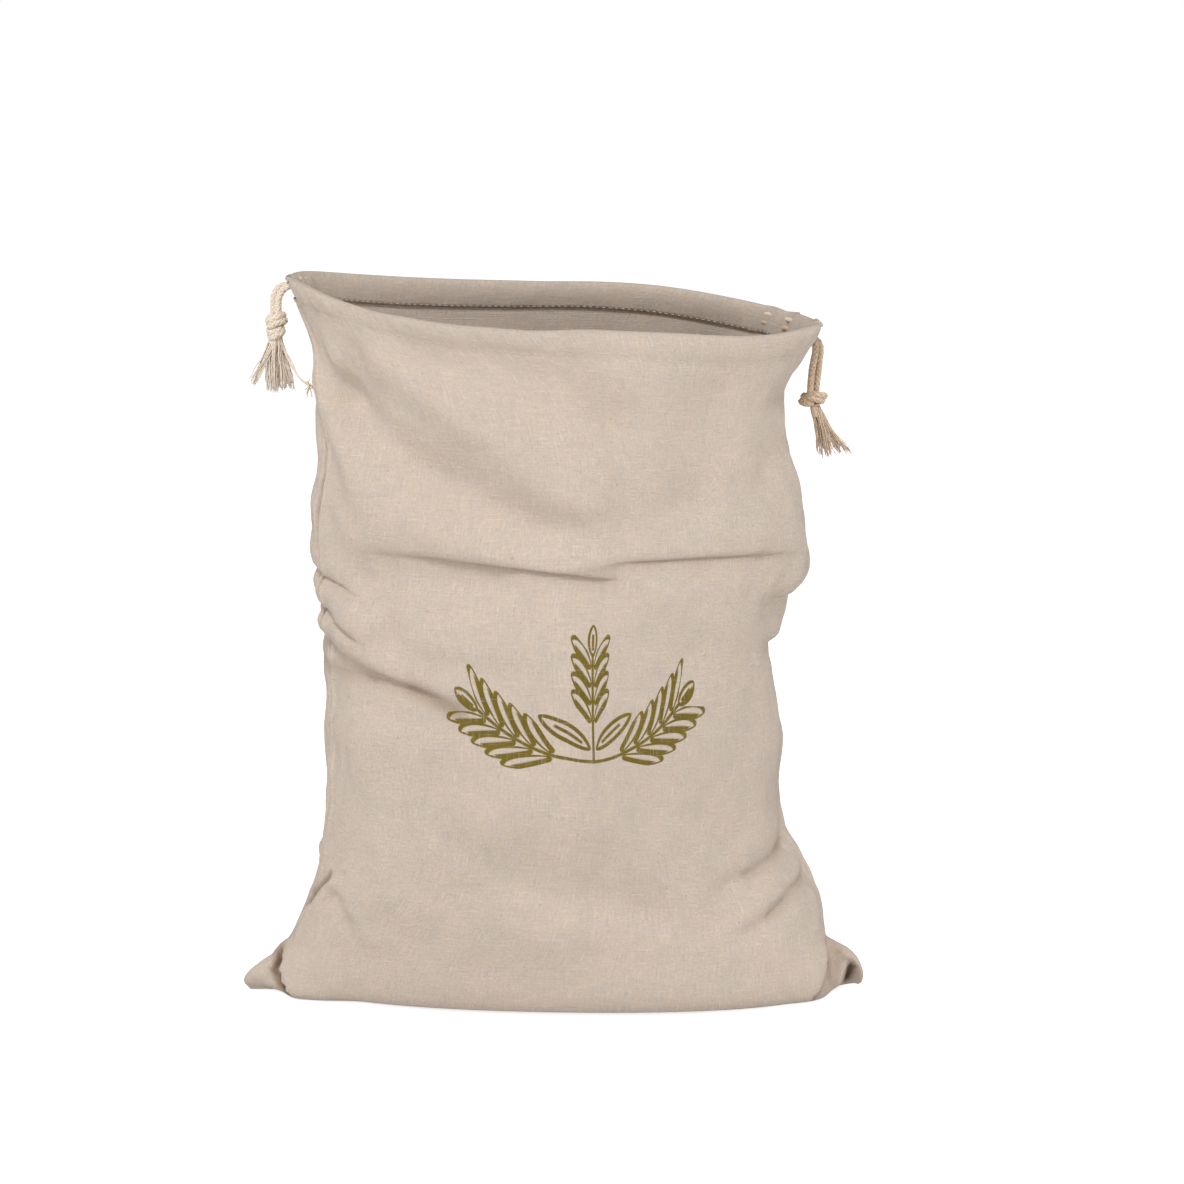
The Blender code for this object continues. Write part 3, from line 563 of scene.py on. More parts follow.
def braidParts(name, route, material, phase=0.0, fineStep=0.42):
    # eight carriers plaited over and under each other along a route, round a core
    route = smoothRoute(route, fineStep)
    along = np.concatenate([[0], np.cumsum(np.linalg.norm(np.diff(route, axis=0), axis=1))])
    across, other = routeFrames(route)
    parts = []
    carriers = cordSizes["carriers"]
    for hand in (1, -1):
        for k in range(carriers):
            turn = hand * 2 * math.pi * along / cordSizes["lay"] + 2 * math.pi * k / carriers + phase
            radius = cordSizes["ringRadius"] + hand * cordSizes["weaveHeight"] * np.cos(carriers * (turn - phase))
            outward = across * np.cos(turn)[:, None] + other * np.sin(turn)[:, None]
            path = route + outward * radius[:, None]
            ahead = np.gradient(path, axis=0)
            ahead /= np.linalg.norm(ahead, axis=1, keepdims=True)
            sideways = np.cross(ahead, outward)
            sideways /= np.linalg.norm(sideways, axis=1, keepdims=True)
            mesh = tubeMesh(name, path, cordSizes["carrierThick"], 6, cordSizes["carrierWide"],
                            sideways, np.cross(sideways, ahead))
            parts.append(pieceFromMesh(name, mesh, material))
    return parts


print("shapes ready")


# Materials
def valueInto(tree, socket, value):
    if isinstance(value, bpy.types.NodeSocket):
        tree.links.new(value, socket)
    elif value is not None:
        socket.default_value = value


def calc(tree, operation, first, second=None, third=None, clamp=False):
    node = tree.nodes.new("ShaderNodeMath")
    node.operation = operation
    node.use_clamp = clamp
    for socket, value in zip(node.inputs, (first, second, third)):
        valueInto(tree, socket, value)
    return node.outputs[0]


def noiseOf(tree, vector, scale, detail=2.0, roughness=0.5, output="Fac"):
    node = tree.nodes.new("ShaderNodeTexNoise")
    valueInto(tree, node.inputs["Vector"], vector)
    node.inputs["Scale"].default_value = scale
    node.inputs["Detail"].default_value = detail
    node.inputs["Roughness"].default_value = roughness
    return node.outputs[output]


def stretched(tree, vector, scale, location=(0, 0, 0)):
    node = tree.nodes.new("ShaderNodeMapping")
    valueInto(tree, node.inputs["Vector"], vector)
    node.inputs["Scale"].default_value = scale
    node.inputs["Location"].default_value = location
    return node.outputs[0]


def ramp(tree, value, low, high, toLow=0.0, toHigh=1.0):
    node = tree.nodes.new("ShaderNodeMapRange")
    valueInto(tree, node.inputs["Value"], value)
    for socket, number in zip(("From Min", "From Max", "To Min", "To Max"), (low, high, toLow, toHigh)):
        node.inputs[socket].default_value = number
    return node.outputs[0]


def mixColours(tree, share, first, second):
    node = tree.nodes.new("ShaderNodeMix")
    node.data_type = "RGBA"
    valueInto(tree, node.inputs["Factor"], share)
    for socket, value in ((node.inputs[6], first), (node.inputs[7], second)):
        valueInto(tree, socket, value)
    return node.outputs[2]


def screenColour(red, green, blue):
    # a colour picked on screen, 0 to 255, as Blender's own values
    picked = (red / 255, green / 255, blue / 255)
    return tuple(v / 12.92 if v <= 0.04045 else ((v + 0.055) / 1.055) ** 2.4 for v in picked) + (1,)


def newGroup(name, inputs, outputs):
    group = bpy.data.node_groups.new(name, "ShaderNodeTree")
    for label, kind, value in inputs:
        socket = group.interface.new_socket(name=label, in_out="INPUT", socket_type=kind)
        if value is not None:
            socket.default_value = value
    for label, kind in outputs:
        group.interface.new_socket(name=label, in_out="OUTPUT", socket_type=kind)
    start, end = group.nodes.new("NodeGroupInput"), group.nodes.new("NodeGroupOutput")
    return group, start.outputs, end.inputs


def useGroup(tree, group, **values):
    node = tree.nodes.new("ShaderNodeGroup")
    node.node_tree = group
    for label, value in values.items():
        valueInto(tree, node.inputs[label], value)
    return node.outputs


def makeWeaveGroup():
    # plain weave with uneven threads; Vector is the cloth's own u and v in metres
    group, given, made = newGroup(
        "plainWeave",
        (("Vector", "NodeSocketVector", None), ("Pitch", "NodeSocketFloat", 0.0007)),
        (("Height", "NodeSocketFloat"), ("Slub", "NodeSocketFloat"), ("Gap", "NodeSocketFloat"),
         ("Fleck", "NodeSocketFloat"), ("Pale", "NodeSocketFloat"), ("Cloud", "NodeSocketFloat"),
         ("Mottle", "NodeSocketFloat"), ("Tint", "NodeSocketFloat")))
    # threads wander a little
    wander = noiseOf(group, given["Vector"], 130, 2, 0.5, "Color")
    offset = group.nodes.new("ShaderNodeVectorMath")
    offset.operation = "MULTIPLY_ADD"
    valueInto(group, offset.inputs[0], wander)
    offset.inputs[1].default_value = (0.0009, 0.0009, 0)
    valueInto(group, offset.inputs[2], given["Vector"])
    split = group.nodes.new("ShaderNodeSeparateXYZ")
    valueInto(group, split.inputs[0], offset.outputs[0])
    turnU = calc(group, "DIVIDE", calc(group, "MULTIPLY", split.outputs[0], math.pi), given["Pitch"])
    turnV = calc(group, "DIVIDE", calc(group, "MULTIPLY", split.outputs[1], math.pi), given["Pitch"])
    sineU, sineV = calc(group, "SINE", turnU), calc(group, "SINE", turnV)
    crossing = calc(group, "MULTIPLY", sineU, sineV)
    upright = calc(group, "MULTIPLY", calc(group, "ABSOLUTE", sineU),
                   calc(group, "MULTIPLY_ADD", crossing, 0.4, 0.6))
    level = calc(group, "MULTIPLY", calc(group, "ABSOLUTE", sineV),
                 calc(group, "MULTIPLY_ADD", crossing, -0.4, 0.6))
    weave = calc(group, "MAXIMUM", upright, level)
    # thick and thin places along single threads, both ways
    longUp = noiseOf(group, stretched(group, given["Vector"], (1400, 95, 1)), 1, 2, 0.55)
    longAcross = noiseOf(group, stretched(group, given["Vector"], (80, 1300, 1), (7, 3, 0)), 1, 2, 0.55)
    slub = calc(group, "MAXIMUM", ramp(group, longUp, 0.56, 0.72), ramp(group, longAcross, 0.57, 0.73))
    thin = calc(group, "MAXIMUM", ramp(group, longUp, 0.44, 0.3), ramp(group, longAcross, 0.43, 0.29))
    height = calc(group, "MULTIPLY_ADD", slub, 0.75, weave)
    valueInto(group, made["Height"], calc(group, "MULTIPLY_ADD", thin, -0.45, height))
    valueInto(group, made["Slub"], slub)
    valueInto(group, made["Gap"], calc(group, "MULTIPLY_ADD", thin, 0.45, ramp(group, weave, 0.5, 0.1)))
    specks = noiseOf(group, stretched(group, given["Vector"], (620, 420, 1), (3, 11, 0)), 1, 3, 0.6)
    valueInto(group, made["Fleck"], ramp(group, specks, 0.62, 0.74))
    tufts = noiseOf(group, stretched(group, given["Vector"], (380, 560, 1), (21, 5, 0)), 1, 3, 0.6)
    valueInto(group, made["Pale"], ramp(group, tufts, 0.6, 0.74))
    valueInto(group, made["Cloud"], noiseOf(group, given["Vector"], 30, 4, 0.6))
    mottle = noiseOf(group, stretched(group, given["Vector"], (820, 680, 1), (2, 9, 0)), 1, 3, 0.7)
    valueInto(group, made["Mottle"], mottle)
    tint = noiseOf(group, stretched(group, given["Vector"], (120, 100, 1), (5, 1, 0)), 1, 4, 0.6)
    valueInto(group, made["Tint"], tint)
    return group


# The printed wheat: three ears and two leaves, in millimetres from the print's middle
wheatPrint = dict(middle=(-1.0, 227.9), line=2.0, curve=0.0078, base=-25)
sideEar = dict(start=16, pitch=9.8, grains=5, low=0.7, high=14.5, lean=0.62, halfWide=3.9, tip=17)
middleEar = dict(start=-9, pitch=9.0, grains=4, low=0.7, high=13.0, lean=0.72, halfWide=3.8, tip=16)
wheatLeaf = dict(turn=0.62, across=2.0, down=19.0, length=31.0, halfWide=4.6)


def softInside(tree, room):
    # 1 where room is above nought, with a narrow soft edge
    return calc(tree, "MULTIPLY_ADD", room, 2.6, 0.5, clamp=True)


def leafInk(tree, along, aside, length, halfWide, line, vein, shaded):
    # an outlined pointed oval from 0 to length along its own line, filled on its shaded side
    share = calc(tree, "DIVIDE", along, length, clamp=True)
    swell = calc(tree, "MULTIPLY", share, calc(tree, "SUBTRACT", 1.0, share))
    edge = calc(tree, "MULTIPLY", calc(tree, "POWER", calc(tree, "MULTIPLY", swell, 4.0), 0.62), halfWide)
    room = calc(tree, "SUBTRACT", edge, aside)
    ring = calc(tree, "MULTIPLY", softInside(tree, room),
                calc(tree, "SUBTRACT", 1.0, softInside(tree, calc(tree, "SUBTRACT", room, line))))
    inVein = calc(tree, "MULTIPLY", softInside(tree, calc(tree, "SUBTRACT", vein, aside)),
                  calc(tree, "MULTIPLY", ramp(tree, share, 0.18, 0.22), ramp(tree, share, 0.72, 0.68)))
    within = calc(tree, "MULTIPLY", calc(tree, "GREATER_THAN", along, 0.0),
                  calc(tree, "LESS_THAN", along, length))
    fill = calc(tree, "MULTIPLY", calc(tree, "MULTIPLY", softInside(tree, room), softInside(tree, shaded)),
                ramp(tree, share, 0.86, 0.8))
    return calc(tree, "MULTIPLY", calc(tree, "MAXIMUM", calc(tree, "MAXIMUM", ring, fill), inVein), within)


def earInk(tree, along, aside, ear, line):
    # grains on both sides of a stalk, each leaning away from it, and one grain at its tip
    away = calc(tree, "ABSOLUTE", aside)
    lean = ear["lean"]
    leaning = calc(tree, "MULTIPLY_ADD", away, -1 / math.tan(lean), along)
    steps = calc(tree, "DIVIDE", calc(tree, "SUBTRACT", leaning, float(ear["start"])), float(ear["pitch"]))
    signed = calc(tree, "MULTIPLY", calc(tree, "SUBTRACT", calc(tree, "FRACT", steps), 0.5),
                  ear["pitch"] * math.sin(lean))
    across = calc(tree, "ABSOLUTE", signed)
    grain = leafInk(tree, calc(tree, "SUBTRACT", away, float(ear["low"])), across,
                    float(ear["high"] - ear["low"]), float(ear["halfWide"]), line * 0.8, 0.0,
                    calc(tree, "MULTIPLY_ADD", signed, -1.0, -0.3))
    inRow = calc(tree, "MULTIPLY", calc(tree, "GREATER_THAN", steps, 0.0),
                 calc(tree, "LESS_THAN", steps, float(ear["grains"])))
    end = ear["start"] + ear["pitch"] * (ear["grains"] + 0.1)
    tip = leafInk(tree, calc(tree, "SUBTRACT", along, end), away, float(ear["tip"]), ear["halfWide"] * 0.95,
                  line * 0.8, line * 0.4, calc(tree, "MULTIPLY_ADD", aside, -1.0, -0.3))
    stalk = calc(tree, "MULTIPLY", softInside(tree, calc(tree, "SUBTRACT", line * 0.42, away)),
                 calc(tree, "LESS_THAN", along, end + 2.0))
    return calc(tree, "MAXIMUM", calc(tree, "MULTIPLY", grain, inRow), calc(tree, "MAXIMUM", tip, stalk))


def makePrintGroup():
    group, given, made = newGroup(
        "wheatPrint",
        (("Across", "NodeSocketFloat", 0.0), ("Up", "NodeSocketFloat", 0.0)), (("Ink", "NodeSocketFloat"),))
    line, curve = wheatPrint["line"], wheatPrint["curve"]
    across, up = calc(group, "ABSOLUTE", given["Across"]), given["Up"]
    # side ears follow a curve that rises from the middle to both sides
    slope = calc(group, "MULTIPLY", across, 2 * curve)
    above = calc(group, "SUBTRACT", up, calc(group, "MULTIPLY_ADD", calc(group, "MULTIPLY", across, across),
                                             curve, float(wheatPrint["base"])))
    steep = calc(group, "MULTIPLY_ADD", slope, slope, 1.0)
    aside = calc(group, "DIVIDE", above, calc(group, "SQRT", steep))
    cube = calc(group, "MULTIPLY", calc(group, "MULTIPLY", across, across), across)
    along = calc(group, "ADD", calc(group, "MULTIPLY_ADD", cube, 0.667 * curve**2, across),
                 calc(group, "DIVIDE", calc(group, "MULTIPLY", above, slope), steep))
    ink = earInk(group, along, aside, sideEar, line)
    fromBase = calc(group, "GREATER_THAN", up, float(wheatPrint["base"]) - 1)
    middle = earInk(group, up, across, middleEar, line)
    ink = calc(group, "MAXIMUM", ink, calc(group, "MULTIPLY", middle, fromBase))
    # one leaf on each side between the ears
    turn = wheatLeaf["turn"]
    leafX = calc(group, "SUBTRACT", across, wheatLeaf["across"])
    leafY = calc(group, "ADD", up, wheatLeaf["down"])
    leafAlong = calc(group, "ADD", calc(group, "MULTIPLY", leafX, math.cos(turn)),
                     calc(group, "MULTIPLY", leafY, math.sin(turn)))
    leafAside = calc(group, "ABSOLUTE", calc(group, "SUBTRACT", calc(group, "MULTIPLY", leafY, math.cos(turn)),
                                             calc(group, "MULTIPLY", leafX, math.sin(turn))))
    leaf = leafInk(group, leafAlong, leafAside, wheatLeaf["length"], wheatLeaf["halfWide"], line, line * 0.4, -1.0)
    ink = calc(group, "MAXIMUM", ink, leaf)
    valueInto(group, made["Ink"], ink)
    return group


linenLook = dict(
    warm=screenColour(220, 203, 188), cool=screenColour(212, 199, 184), shade=screenColour(196, 178, 162),
    peach=screenColour(230, 206, 180), grey=screenColour(202, 194, 184), deep=screenColour(172, 149, 130),
    # the first brown on the next line is painted shade for the creases; its strength follows the ink colours
    paintedShade=screenColour(134, 104, 76), fleck=screenColour(164, 138, 112), pale=screenColour(240, 229, 218),
    ink=screenColour(112, 93, 12), inkWorn=screenColour(124, 107, 24), paintedShadeStrength=0.75,
    roughness=0.92, sheen=0.12, sheenRoughness=0.5, specular=0.15, bumpStrength=0.8, weaveBump=0.00022)
# Tones laid over the cloth's own one after another: the weave's mask, the range it is read over, the share of
# the tone at both ends of that range and the tone
linenTones = (
    ("Tint", 0.5, 0.68, 0.0, 0.36, "peach"), ("Tint", 0.5, 0.34, 0.0, 0.36, "grey"),
    ("Mottle", 0.34, 0.66, 0.42, 0.0, "shade"), ("Mottle", 0.5, 0.7, 0.0, 0.2, "pale"),
    ("Gap", 0, 1, 0.0, 0.34, "deep"), ("Slub", 0, 1, 0.0, 0.36, "pale"),
    ("Fleck", 0, 1, 0.0, 0.5, "fleck"), ("Pale", 0, 1, 0.0, 0.35, "pale"))
cottonLook = dict(roughness=0.85, sheen=0.15, specular=0.2, bumpStrength=0.7, fibreBump=0.0001)


def clothAround(angle):
    angles, around = clothColumns()
    return float(np.interp(angle, angles, around))


def makeLinen():
    material = bpy.data.materials.new("bagLinen")
    material.use_nodes = True
    tree = material.node_tree
    shader = tree.nodes["Principled BSDF"]
    uv = tree.nodes.new("ShaderNodeUVMap")
    uv.uv_map = "clothUV"
    weave = useGroup(tree, weaveGroup, Vector=uv.outputs[0])
    split = tree.nodes.new("ShaderNodeSeparateXYZ")
    valueInto(tree, split.inputs[0], uv.outputs[0])
    across = calc(tree, "MULTIPLY_ADD", split.outputs[0], 1000.0, -clothAround(wheatPrint["middle"][0]))
    up = calc(tree, "MULTIPLY_ADD", split.outputs[1], 1000.0, -wheatPrint["middle"][1])
    ink = useGroup(tree, printGroup, Across=across, Up=up)["Ink"]
    # the inner face carries no print
    face = tree.nodes.new("ShaderNodeAttribute")
    face.attribute_name = "outerFace"
    ink = calc(tree, "MULTIPLY", ink, face.outputs["Fac"])
    # Painted shade: the cloth's colour is drawn towards a brown in its creases, on the outer face only
    paintedShade = tree.nodes.new("ShaderNodeAttribute")
    paintedShade.attribute_name = "creaseShade"
    paintedShadeMask = calc(tree, "MULTIPLY", paintedShade.outputs["Fac"], face.outputs["Fac"])
    cloud = ramp(tree, weave["Cloud"], 0.32, 0.68)
    colour = mixColours(tree, cloud, linenLook["warm"], linenLook["cool"])
    for mask, low, high, toLow, toHigh, tone in linenTones:
        colour = mixColours(tree, ramp(tree, weave[mask], low, high, toLow, toHigh), colour, linenLook[tone])
    paintedShadeShare = calc(tree, "MULTIPLY", paintedShadeMask, linenLook["paintedShadeStrength"])
    colour = mixColours(tree, paintedShadeShare, colour, linenLook["paintedShade"])
    inkColour = mixColours(tree, ramp(tree, weave["Cloud"], 0.35, 0.65), linenLook["ink"], linenLook["inkWorn"])
    soaked = calc(tree, "MULTIPLY", ink, ramp(tree, weave["Slub"], 0, 1, 0.98, 0.72))
    colour = mixColours(tree, soaked, colour, inkColour)
    valueInto(tree, shader.inputs["Base Color"], colour)
    bump = tree.nodes.new("ShaderNodeBump")
    bump.inputs["Strength"].default_value = linenLook["bumpStrength"]
    bump.inputs["Distance"].default_value = linenLook["weaveBump"]
    valueInto(tree, bump.inputs["Height"], weave["Height"])
    valueInto(tree, shader.inputs["Normal"], bump.outputs[0])
    shader.inputs["Roughness"].default_value = linenLook["roughness"]
    shader.inputs["Sheen Weight"].default_value = linenLook["sheen"]
    shader.inputs["Sheen Roughness"].default_value = linenLook["sheenRoughness"]
    shader.inputs["Specular IOR Level"].default_value = linenLook["specular"]
    return material


def makeYarnGroup():
    # cotton yarn: fine fibres running along v with a slow change of tone
    group, given, made = newGroup(
        "cottonYarn",
        (("Vector", "NodeSocketVector", None), ("Place", "NodeSocketVector", None)),
        (("Height", "NodeSocketFloat"), ("Fibre", "NodeSocketFloat"), ("Tone", "NodeSocketFloat")))
    fibre = noiseOf(group, stretched(group, given["Vector"], (9000, 900, 1)), 1, 2, 0.6)
    tone = noiseOf(group, given["Place"], 900, 3, 0.6)
    valueInto(group, made["Height"], fibre)
    valueInto(group, made["Fibre"], ramp(group, fibre, 0.35, 0.7))
    valueInto(group, made["Tone"], ramp(group, tone, 0.35, 0.65))
    return group


def makeCotton(name, light, middle, dark):
    material = bpy.data.materials.new(name)
    material.use_nodes = True
    tree = material.node_tree
    shader = tree.nodes["Principled BSDF"]
    uv = tree.nodes.new("ShaderNodeUVMap")
    uv.uv_map = "yarnUV"
    place = tree.nodes.new("ShaderNodeTexCoord")
    yarn = useGroup(tree, yarnGroup, Vector=uv.outputs[0], Place=place.outputs["Object"])
    colour = mixColours(tree, yarn["Tone"], middle, light)
    colour = mixColours(tree, ramp(tree, yarn["Fibre"], 0, 1, 0.45, 0.0), colour, dark)
    valueInto(tree, shader.inputs["Base Color"], colour)
    bump = tree.nodes.new("ShaderNodeBump")
    bump.inputs["Strength"].default_value = cottonLook["bumpStrength"]
    bump.inputs["Distance"].default_value = cottonLook["fibreBump"]
    valueInto(tree, bump.inputs["Height"], yarn["Height"])
    valueInto(tree, shader.inputs["Normal"], bump.outputs[0])
    shader.inputs["Roughness"].default_value = cottonLook["roughness"]
    shader.inputs["Sheen Weight"].default_value = cottonLook["sheen"]
    shader.inputs["Specular IOR Level"].default_value = cottonLook["specular"]
    return material


weaveGroup, printGroup, yarnGroup = makeWeaveGroup(), makePrintGroup(), makeYarnGroup()
linen = makeLinen()
leftCotton = makeCotton("leftCordCotton", screenColour(255, 246, 232), screenColour(244, 228, 208),
                        screenColour(210, 186, 162))
rightCotton = makeCotton("rightCordCotton", screenColour(242, 220, 196), screenColour(220, 194, 167),
                         screenColour(176, 148, 122))
print("materials ready")


def makeCordPiece(name, cord, material, node):
    route, firstCount, lastCount = cordRoute(cord)
    core = pieceFromMesh(name, tubeMesh(name, route, cordSizes["coreRadius"], 10), material)
    inCasing = cordSizes["plaitInCasing"]
    parts = braidParts("frontPlait", route[:firstCount + inCasing], material)
    parts += braidParts("backPlait", route[len(route) - lastCount - inCasing:], material, 0.5)
    piece = joined([core] + parts, name)
    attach(piece, "root")
    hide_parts(node)
    return piece, route


leftPiece, leftRoute = makeCordPiece("leftDrawcord", leftCord, leftCotton, "cord_left")
rightPiece, rightRoute = makeCordPiece("rightDrawcord", rightCord, rightCotton, "cord_right")
print("cords made")


def wallRows():
    knots = sectionPlaces()
    rows = [np.linspace(knots[first], knots[last], count + 1)[:-1] for first, last, count in clothGrid["bands"]]
    return np.concatenate([*rows, [knots[-1]]])


def makeBagCloth():
    # one sheet: a grid wrapped round, closed at the bottom fold and turned in at the rim
    angles, around = clothColumns()
    places = wallRows()
    angle, place = np.meshgrid(angles, places)
    wall, wallShade = wallPoints(angle, place, True)
    out, up = casingFrame(wall[-4:], 12)
    hem = smoothRoute([(x, z, 0) for x, z in ((0, 0),) + hemProfile], clothSheet["hemStep"])[1:, :2]
    gather = sum(height * np.sin(np.radians(angles) * count + shift)
                 for height, count, shift in clothSheet["gathers"])
    hemRows = []
    for outward, rise in hem:
        swell = gather * math.sin(math.pi * min(1, max(0, rise / clothSheet["hemTop"])))
        swell = swell * clothSheet["gatherOut" if outward > 0 else "gatherIn"]
        hemRows.append(wall[-1] + out * (outward + swell[:, None]) + up * rise)
    points = np.concatenate([wall, hemRows])
    shades = np.concatenate([wallShade, np.zeros((len(hem), len(angles)))])
    hemPlaces = places[-1] + np.cumsum(np.hypot(*np.diff(np.vstack([(0, 0), hem]), axis=0).T))
    allPlaces = np.concatenate([places, hemPlaces])
    rows, columns = points.shape[0] - 1, points.shape[1] - 1
    clearSelection()
    bpy.ops.mesh.primitive_grid_add(x_subdivisions=columns, y_subdivisions=rows, size=2)
    piece = bpy.context.object
    piece.name = "bagCloth"
    mesh = piece.data
    flat = np.empty(len(mesh.vertices) * 3)
    mesh.vertices.foreach_get("co", flat)
    flat = flat.reshape(-1, 3)
    column = np.rint((flat[:, 0] + 1) / 2 * columns).astype(int)
    row = np.rint((flat[:, 1] + 1) / 2 * rows).astype(int)
    mesh.vertices.foreach_set("co", (points[row, column] * mm).ravel())
    # painted shade in the creases, kept on each point for the cloth's material
    paintedShade = mesh.attributes.new("creaseShade", "FLOAT", "POINT")
    paintedShade.data.foreach_set("value", shades[row, column])
    while mesh.uv_layers:
        mesh.uv_layers.remove(mesh.uv_layers[0])
    layer = mesh.uv_layers.new(name="clothUV")
    corner = np.empty(len(mesh.loops), int)
    mesh.loops.foreach_get("vertex_index", corner)
    layer.data.foreach_set("uv", (np.stack([around[column], allPlaces[row]], axis=-1)[corner] * mm).ravel())
    # the slits in the outer layer of the casing
    mesh.update()
    seamAt = (around[0], around[clothGrid["front"]], around[-1])
    slitRows = [i for i in range(len(places), rows) if allPlaces[i] - places[-1] < clothSheet["slitTop"]]
    bm = bmesh.new()
    bm.from_mesh(mesh)
    bm.verts.ensure_lookup_table()
    slit = []
    for face in bm.faces:
        spots = [vert.index for vert in face.verts]
        lowRow, leftColumn = row[spots].min(), column[spots].min()
        middle = (around[leftColumn] + around[leftColumn + 1]) / 2
        if lowRow in slitRows and min(abs(middle - spot) for spot in seamAt) < clothSheet["slitHalf"]:
            slit.append(face)
    bmesh.ops.delete(bm, geom=slit, context="FACES")
    bmesh.ops.remove_doubles(bm, verts=bm.verts, dist=clothSheet["mergeBelow"])
    bm.to_mesh(mesh)
    bm.free()
    mesh.attributes.new("outerFace", "FLOAT", "FACE")
    faceCount = len(mesh.polygons)
    mesh.materials.append(linen)
    mesh.shade_smooth()
    thickness = piece.modifiers.new("clothThickness", "SOLIDIFY")
    thickness.thickness = clothSheet["thickness"] * mm
    thickness.offset = -1
    applyModifiers(piece)
    values = np.zeros(len(mesh.polygons))
    values[:faceCount] = 1
    piece.data.attributes["outerFace"].data.foreach_set("value", values)
    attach(piece, "root")
    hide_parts("bag_cloth")
    return piece, wall[-1], out, up, around


bagCloth, stitchRing, ringOut, ringUp, ringAround = makeBagCloth()
print("cloth made", 2 * len(bagCloth.data.polygons), "triangles")

# Stitches round the casing, outside and inside
stitchSizes = dict(length=2.5, gap=0.9, radius=0.28, layers=(0.12, -3.25))


def makeStitches():
    clearSelection()
    bpy.ops.mesh.primitive_cylinder_add(vertices=6, radius=stitchSizes["radius"] * mm,
                                        depth=stitchSizes["length"] * mm)
    model = bpy.context.object
    bpy.ops.object.mode_set(mode="EDIT")
    bpy.ops.mesh.select_all(action="SELECT")
    bpy.ops.mesh.bisect(plane_co=(0, 0, 0), plane_no=(0, 0, 1))
    bpy.ops.object.mode_set(mode="OBJECT")
    for vert in model.data.vertices:
        if abs(vert.co.z) > 0.0005:
            vert.co.x *= 0.5
            vert.co.y = vert.co.y * 0.5 - 0.0003
    ring, out = stitchRing[:-1], ringOut[:-1]
    loop = np.vstack([ring, ring[:1]])
    along = np.concatenate([[0], np.cumsum(np.linalg.norm(np.diff(loop, axis=0), axis=1))])
    count = round(along[-1] / (stitchSizes["length"] + stitchSizes["gap"]))
    outs = np.vstack([out, out[:1]])
    copies = []
    for inward in stitchSizes["layers"]:
        for i in range(count):
            at = along[-1] * i / count
            spot = np.array([np.interp(at, along, loop[:, k]) for k in range(3)])
            nextSpot = np.array([np.interp((at + 1) % along[-1], along, loop[:, k]) for k in range(3)])
            away = np.array([np.interp(at, along, outs[:, k]) for k in range(3)])
            ahead = Vector(nextSpot - spot).normalized()
            outward = Vector(away) * (1 if inward > 0 else -1)
            outward = (outward - ahead * outward.dot(ahead)).normalized()
            turn = Matrix((outward.cross(ahead), outward, ahead)).transposed().to_4x4()
            copy = model.copy()
            copy.data = model.data.copy()
            bpy.context.collection.objects.link(copy)
            copy.data.transform(Matrix.Translation(Vector(spot + away * inward) * mm) @ turn)
            copies.append(copy)
    bpy.data.objects.remove(model)
    piece = joined(copies, "casingStitches")
    piece.data.materials.append(threadCotton)
    piece.data.shade_smooth()
    while piece.data.uv_layers:
        piece.data.uv_layers.remove(piece.data.uv_layers[0])
    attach(piece, "root")
    return piece


threadCotton = makeCotton("seamThread", screenColour(228, 214, 200), screenColour(214, 197, 182),
                          screenColour(180, 158, 140))
casingStitches = makeStitches()
print("stitches made")

# Knots: two plies of cord wound round the strands, tilted and drawn in at both ends
leftKnotSizes = dict(centre=(-140.3, 0, 349.4), radius=(4.4, 4.2), height=12.5, turns=2.1, turn=-14, start=0.4,
                     tilt=1.7)
rightKnotSizes = dict(centre=(135.2, -0.6, 309.6), radius=(4.9, 4.1), height=5.4, turns=1.45, turn=24, start=2.3,
                      tilt=1.6)


def makeKnotPiece(name, knot, material, node):
    share = np.linspace(0, 1, 40)
    parts = []
    turnMatrix = np.array(Matrix.Rotation(math.radians(knot["turn"]), 3, "Y"))
    for ply, shift in enumerate((-1.35, 1.35)):
        turn = knot["start"] + 2 * math.pi * knot["turns"] * share
        drawnIn = np.minimum(1, 0.25 + 2.6 * np.minimum(share, 1 - share)) * (1 + 0.06 * np.sin(5 * turn + ply))
        x = knot["radius"][0] * np.cos(turn) * drawnIn
        y = knot["radius"][1] * np.sin(turn) * drawnIn
        z = knot["height"] * (0.5 - share) + knot["tilt"] * np.cos(turn) + shift * drawnIn
        path = np.stack([x, y, z], axis=-1) @ turnMatrix.T + np.array(knot["centre"])
        parts.append(pieceFromMesh(name, tubeMesh(name, smoothRoute(path, 0.8), 1.3, 10), material))
        parts += braidParts("knotPlait", path, material, 0.3 * ply, 0.5)
    piece = joined(parts, name)
    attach(piece, "root")
    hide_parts(node)
    return piece


leftKnot = makeKnotPiece("leftKnot", leftKnotSizes, leftCotton, "knot_left")
rightKnot = makeKnotPiece("rightKnot", rightKnotSizes, rightCotton, "knot_right")
print("knots made")

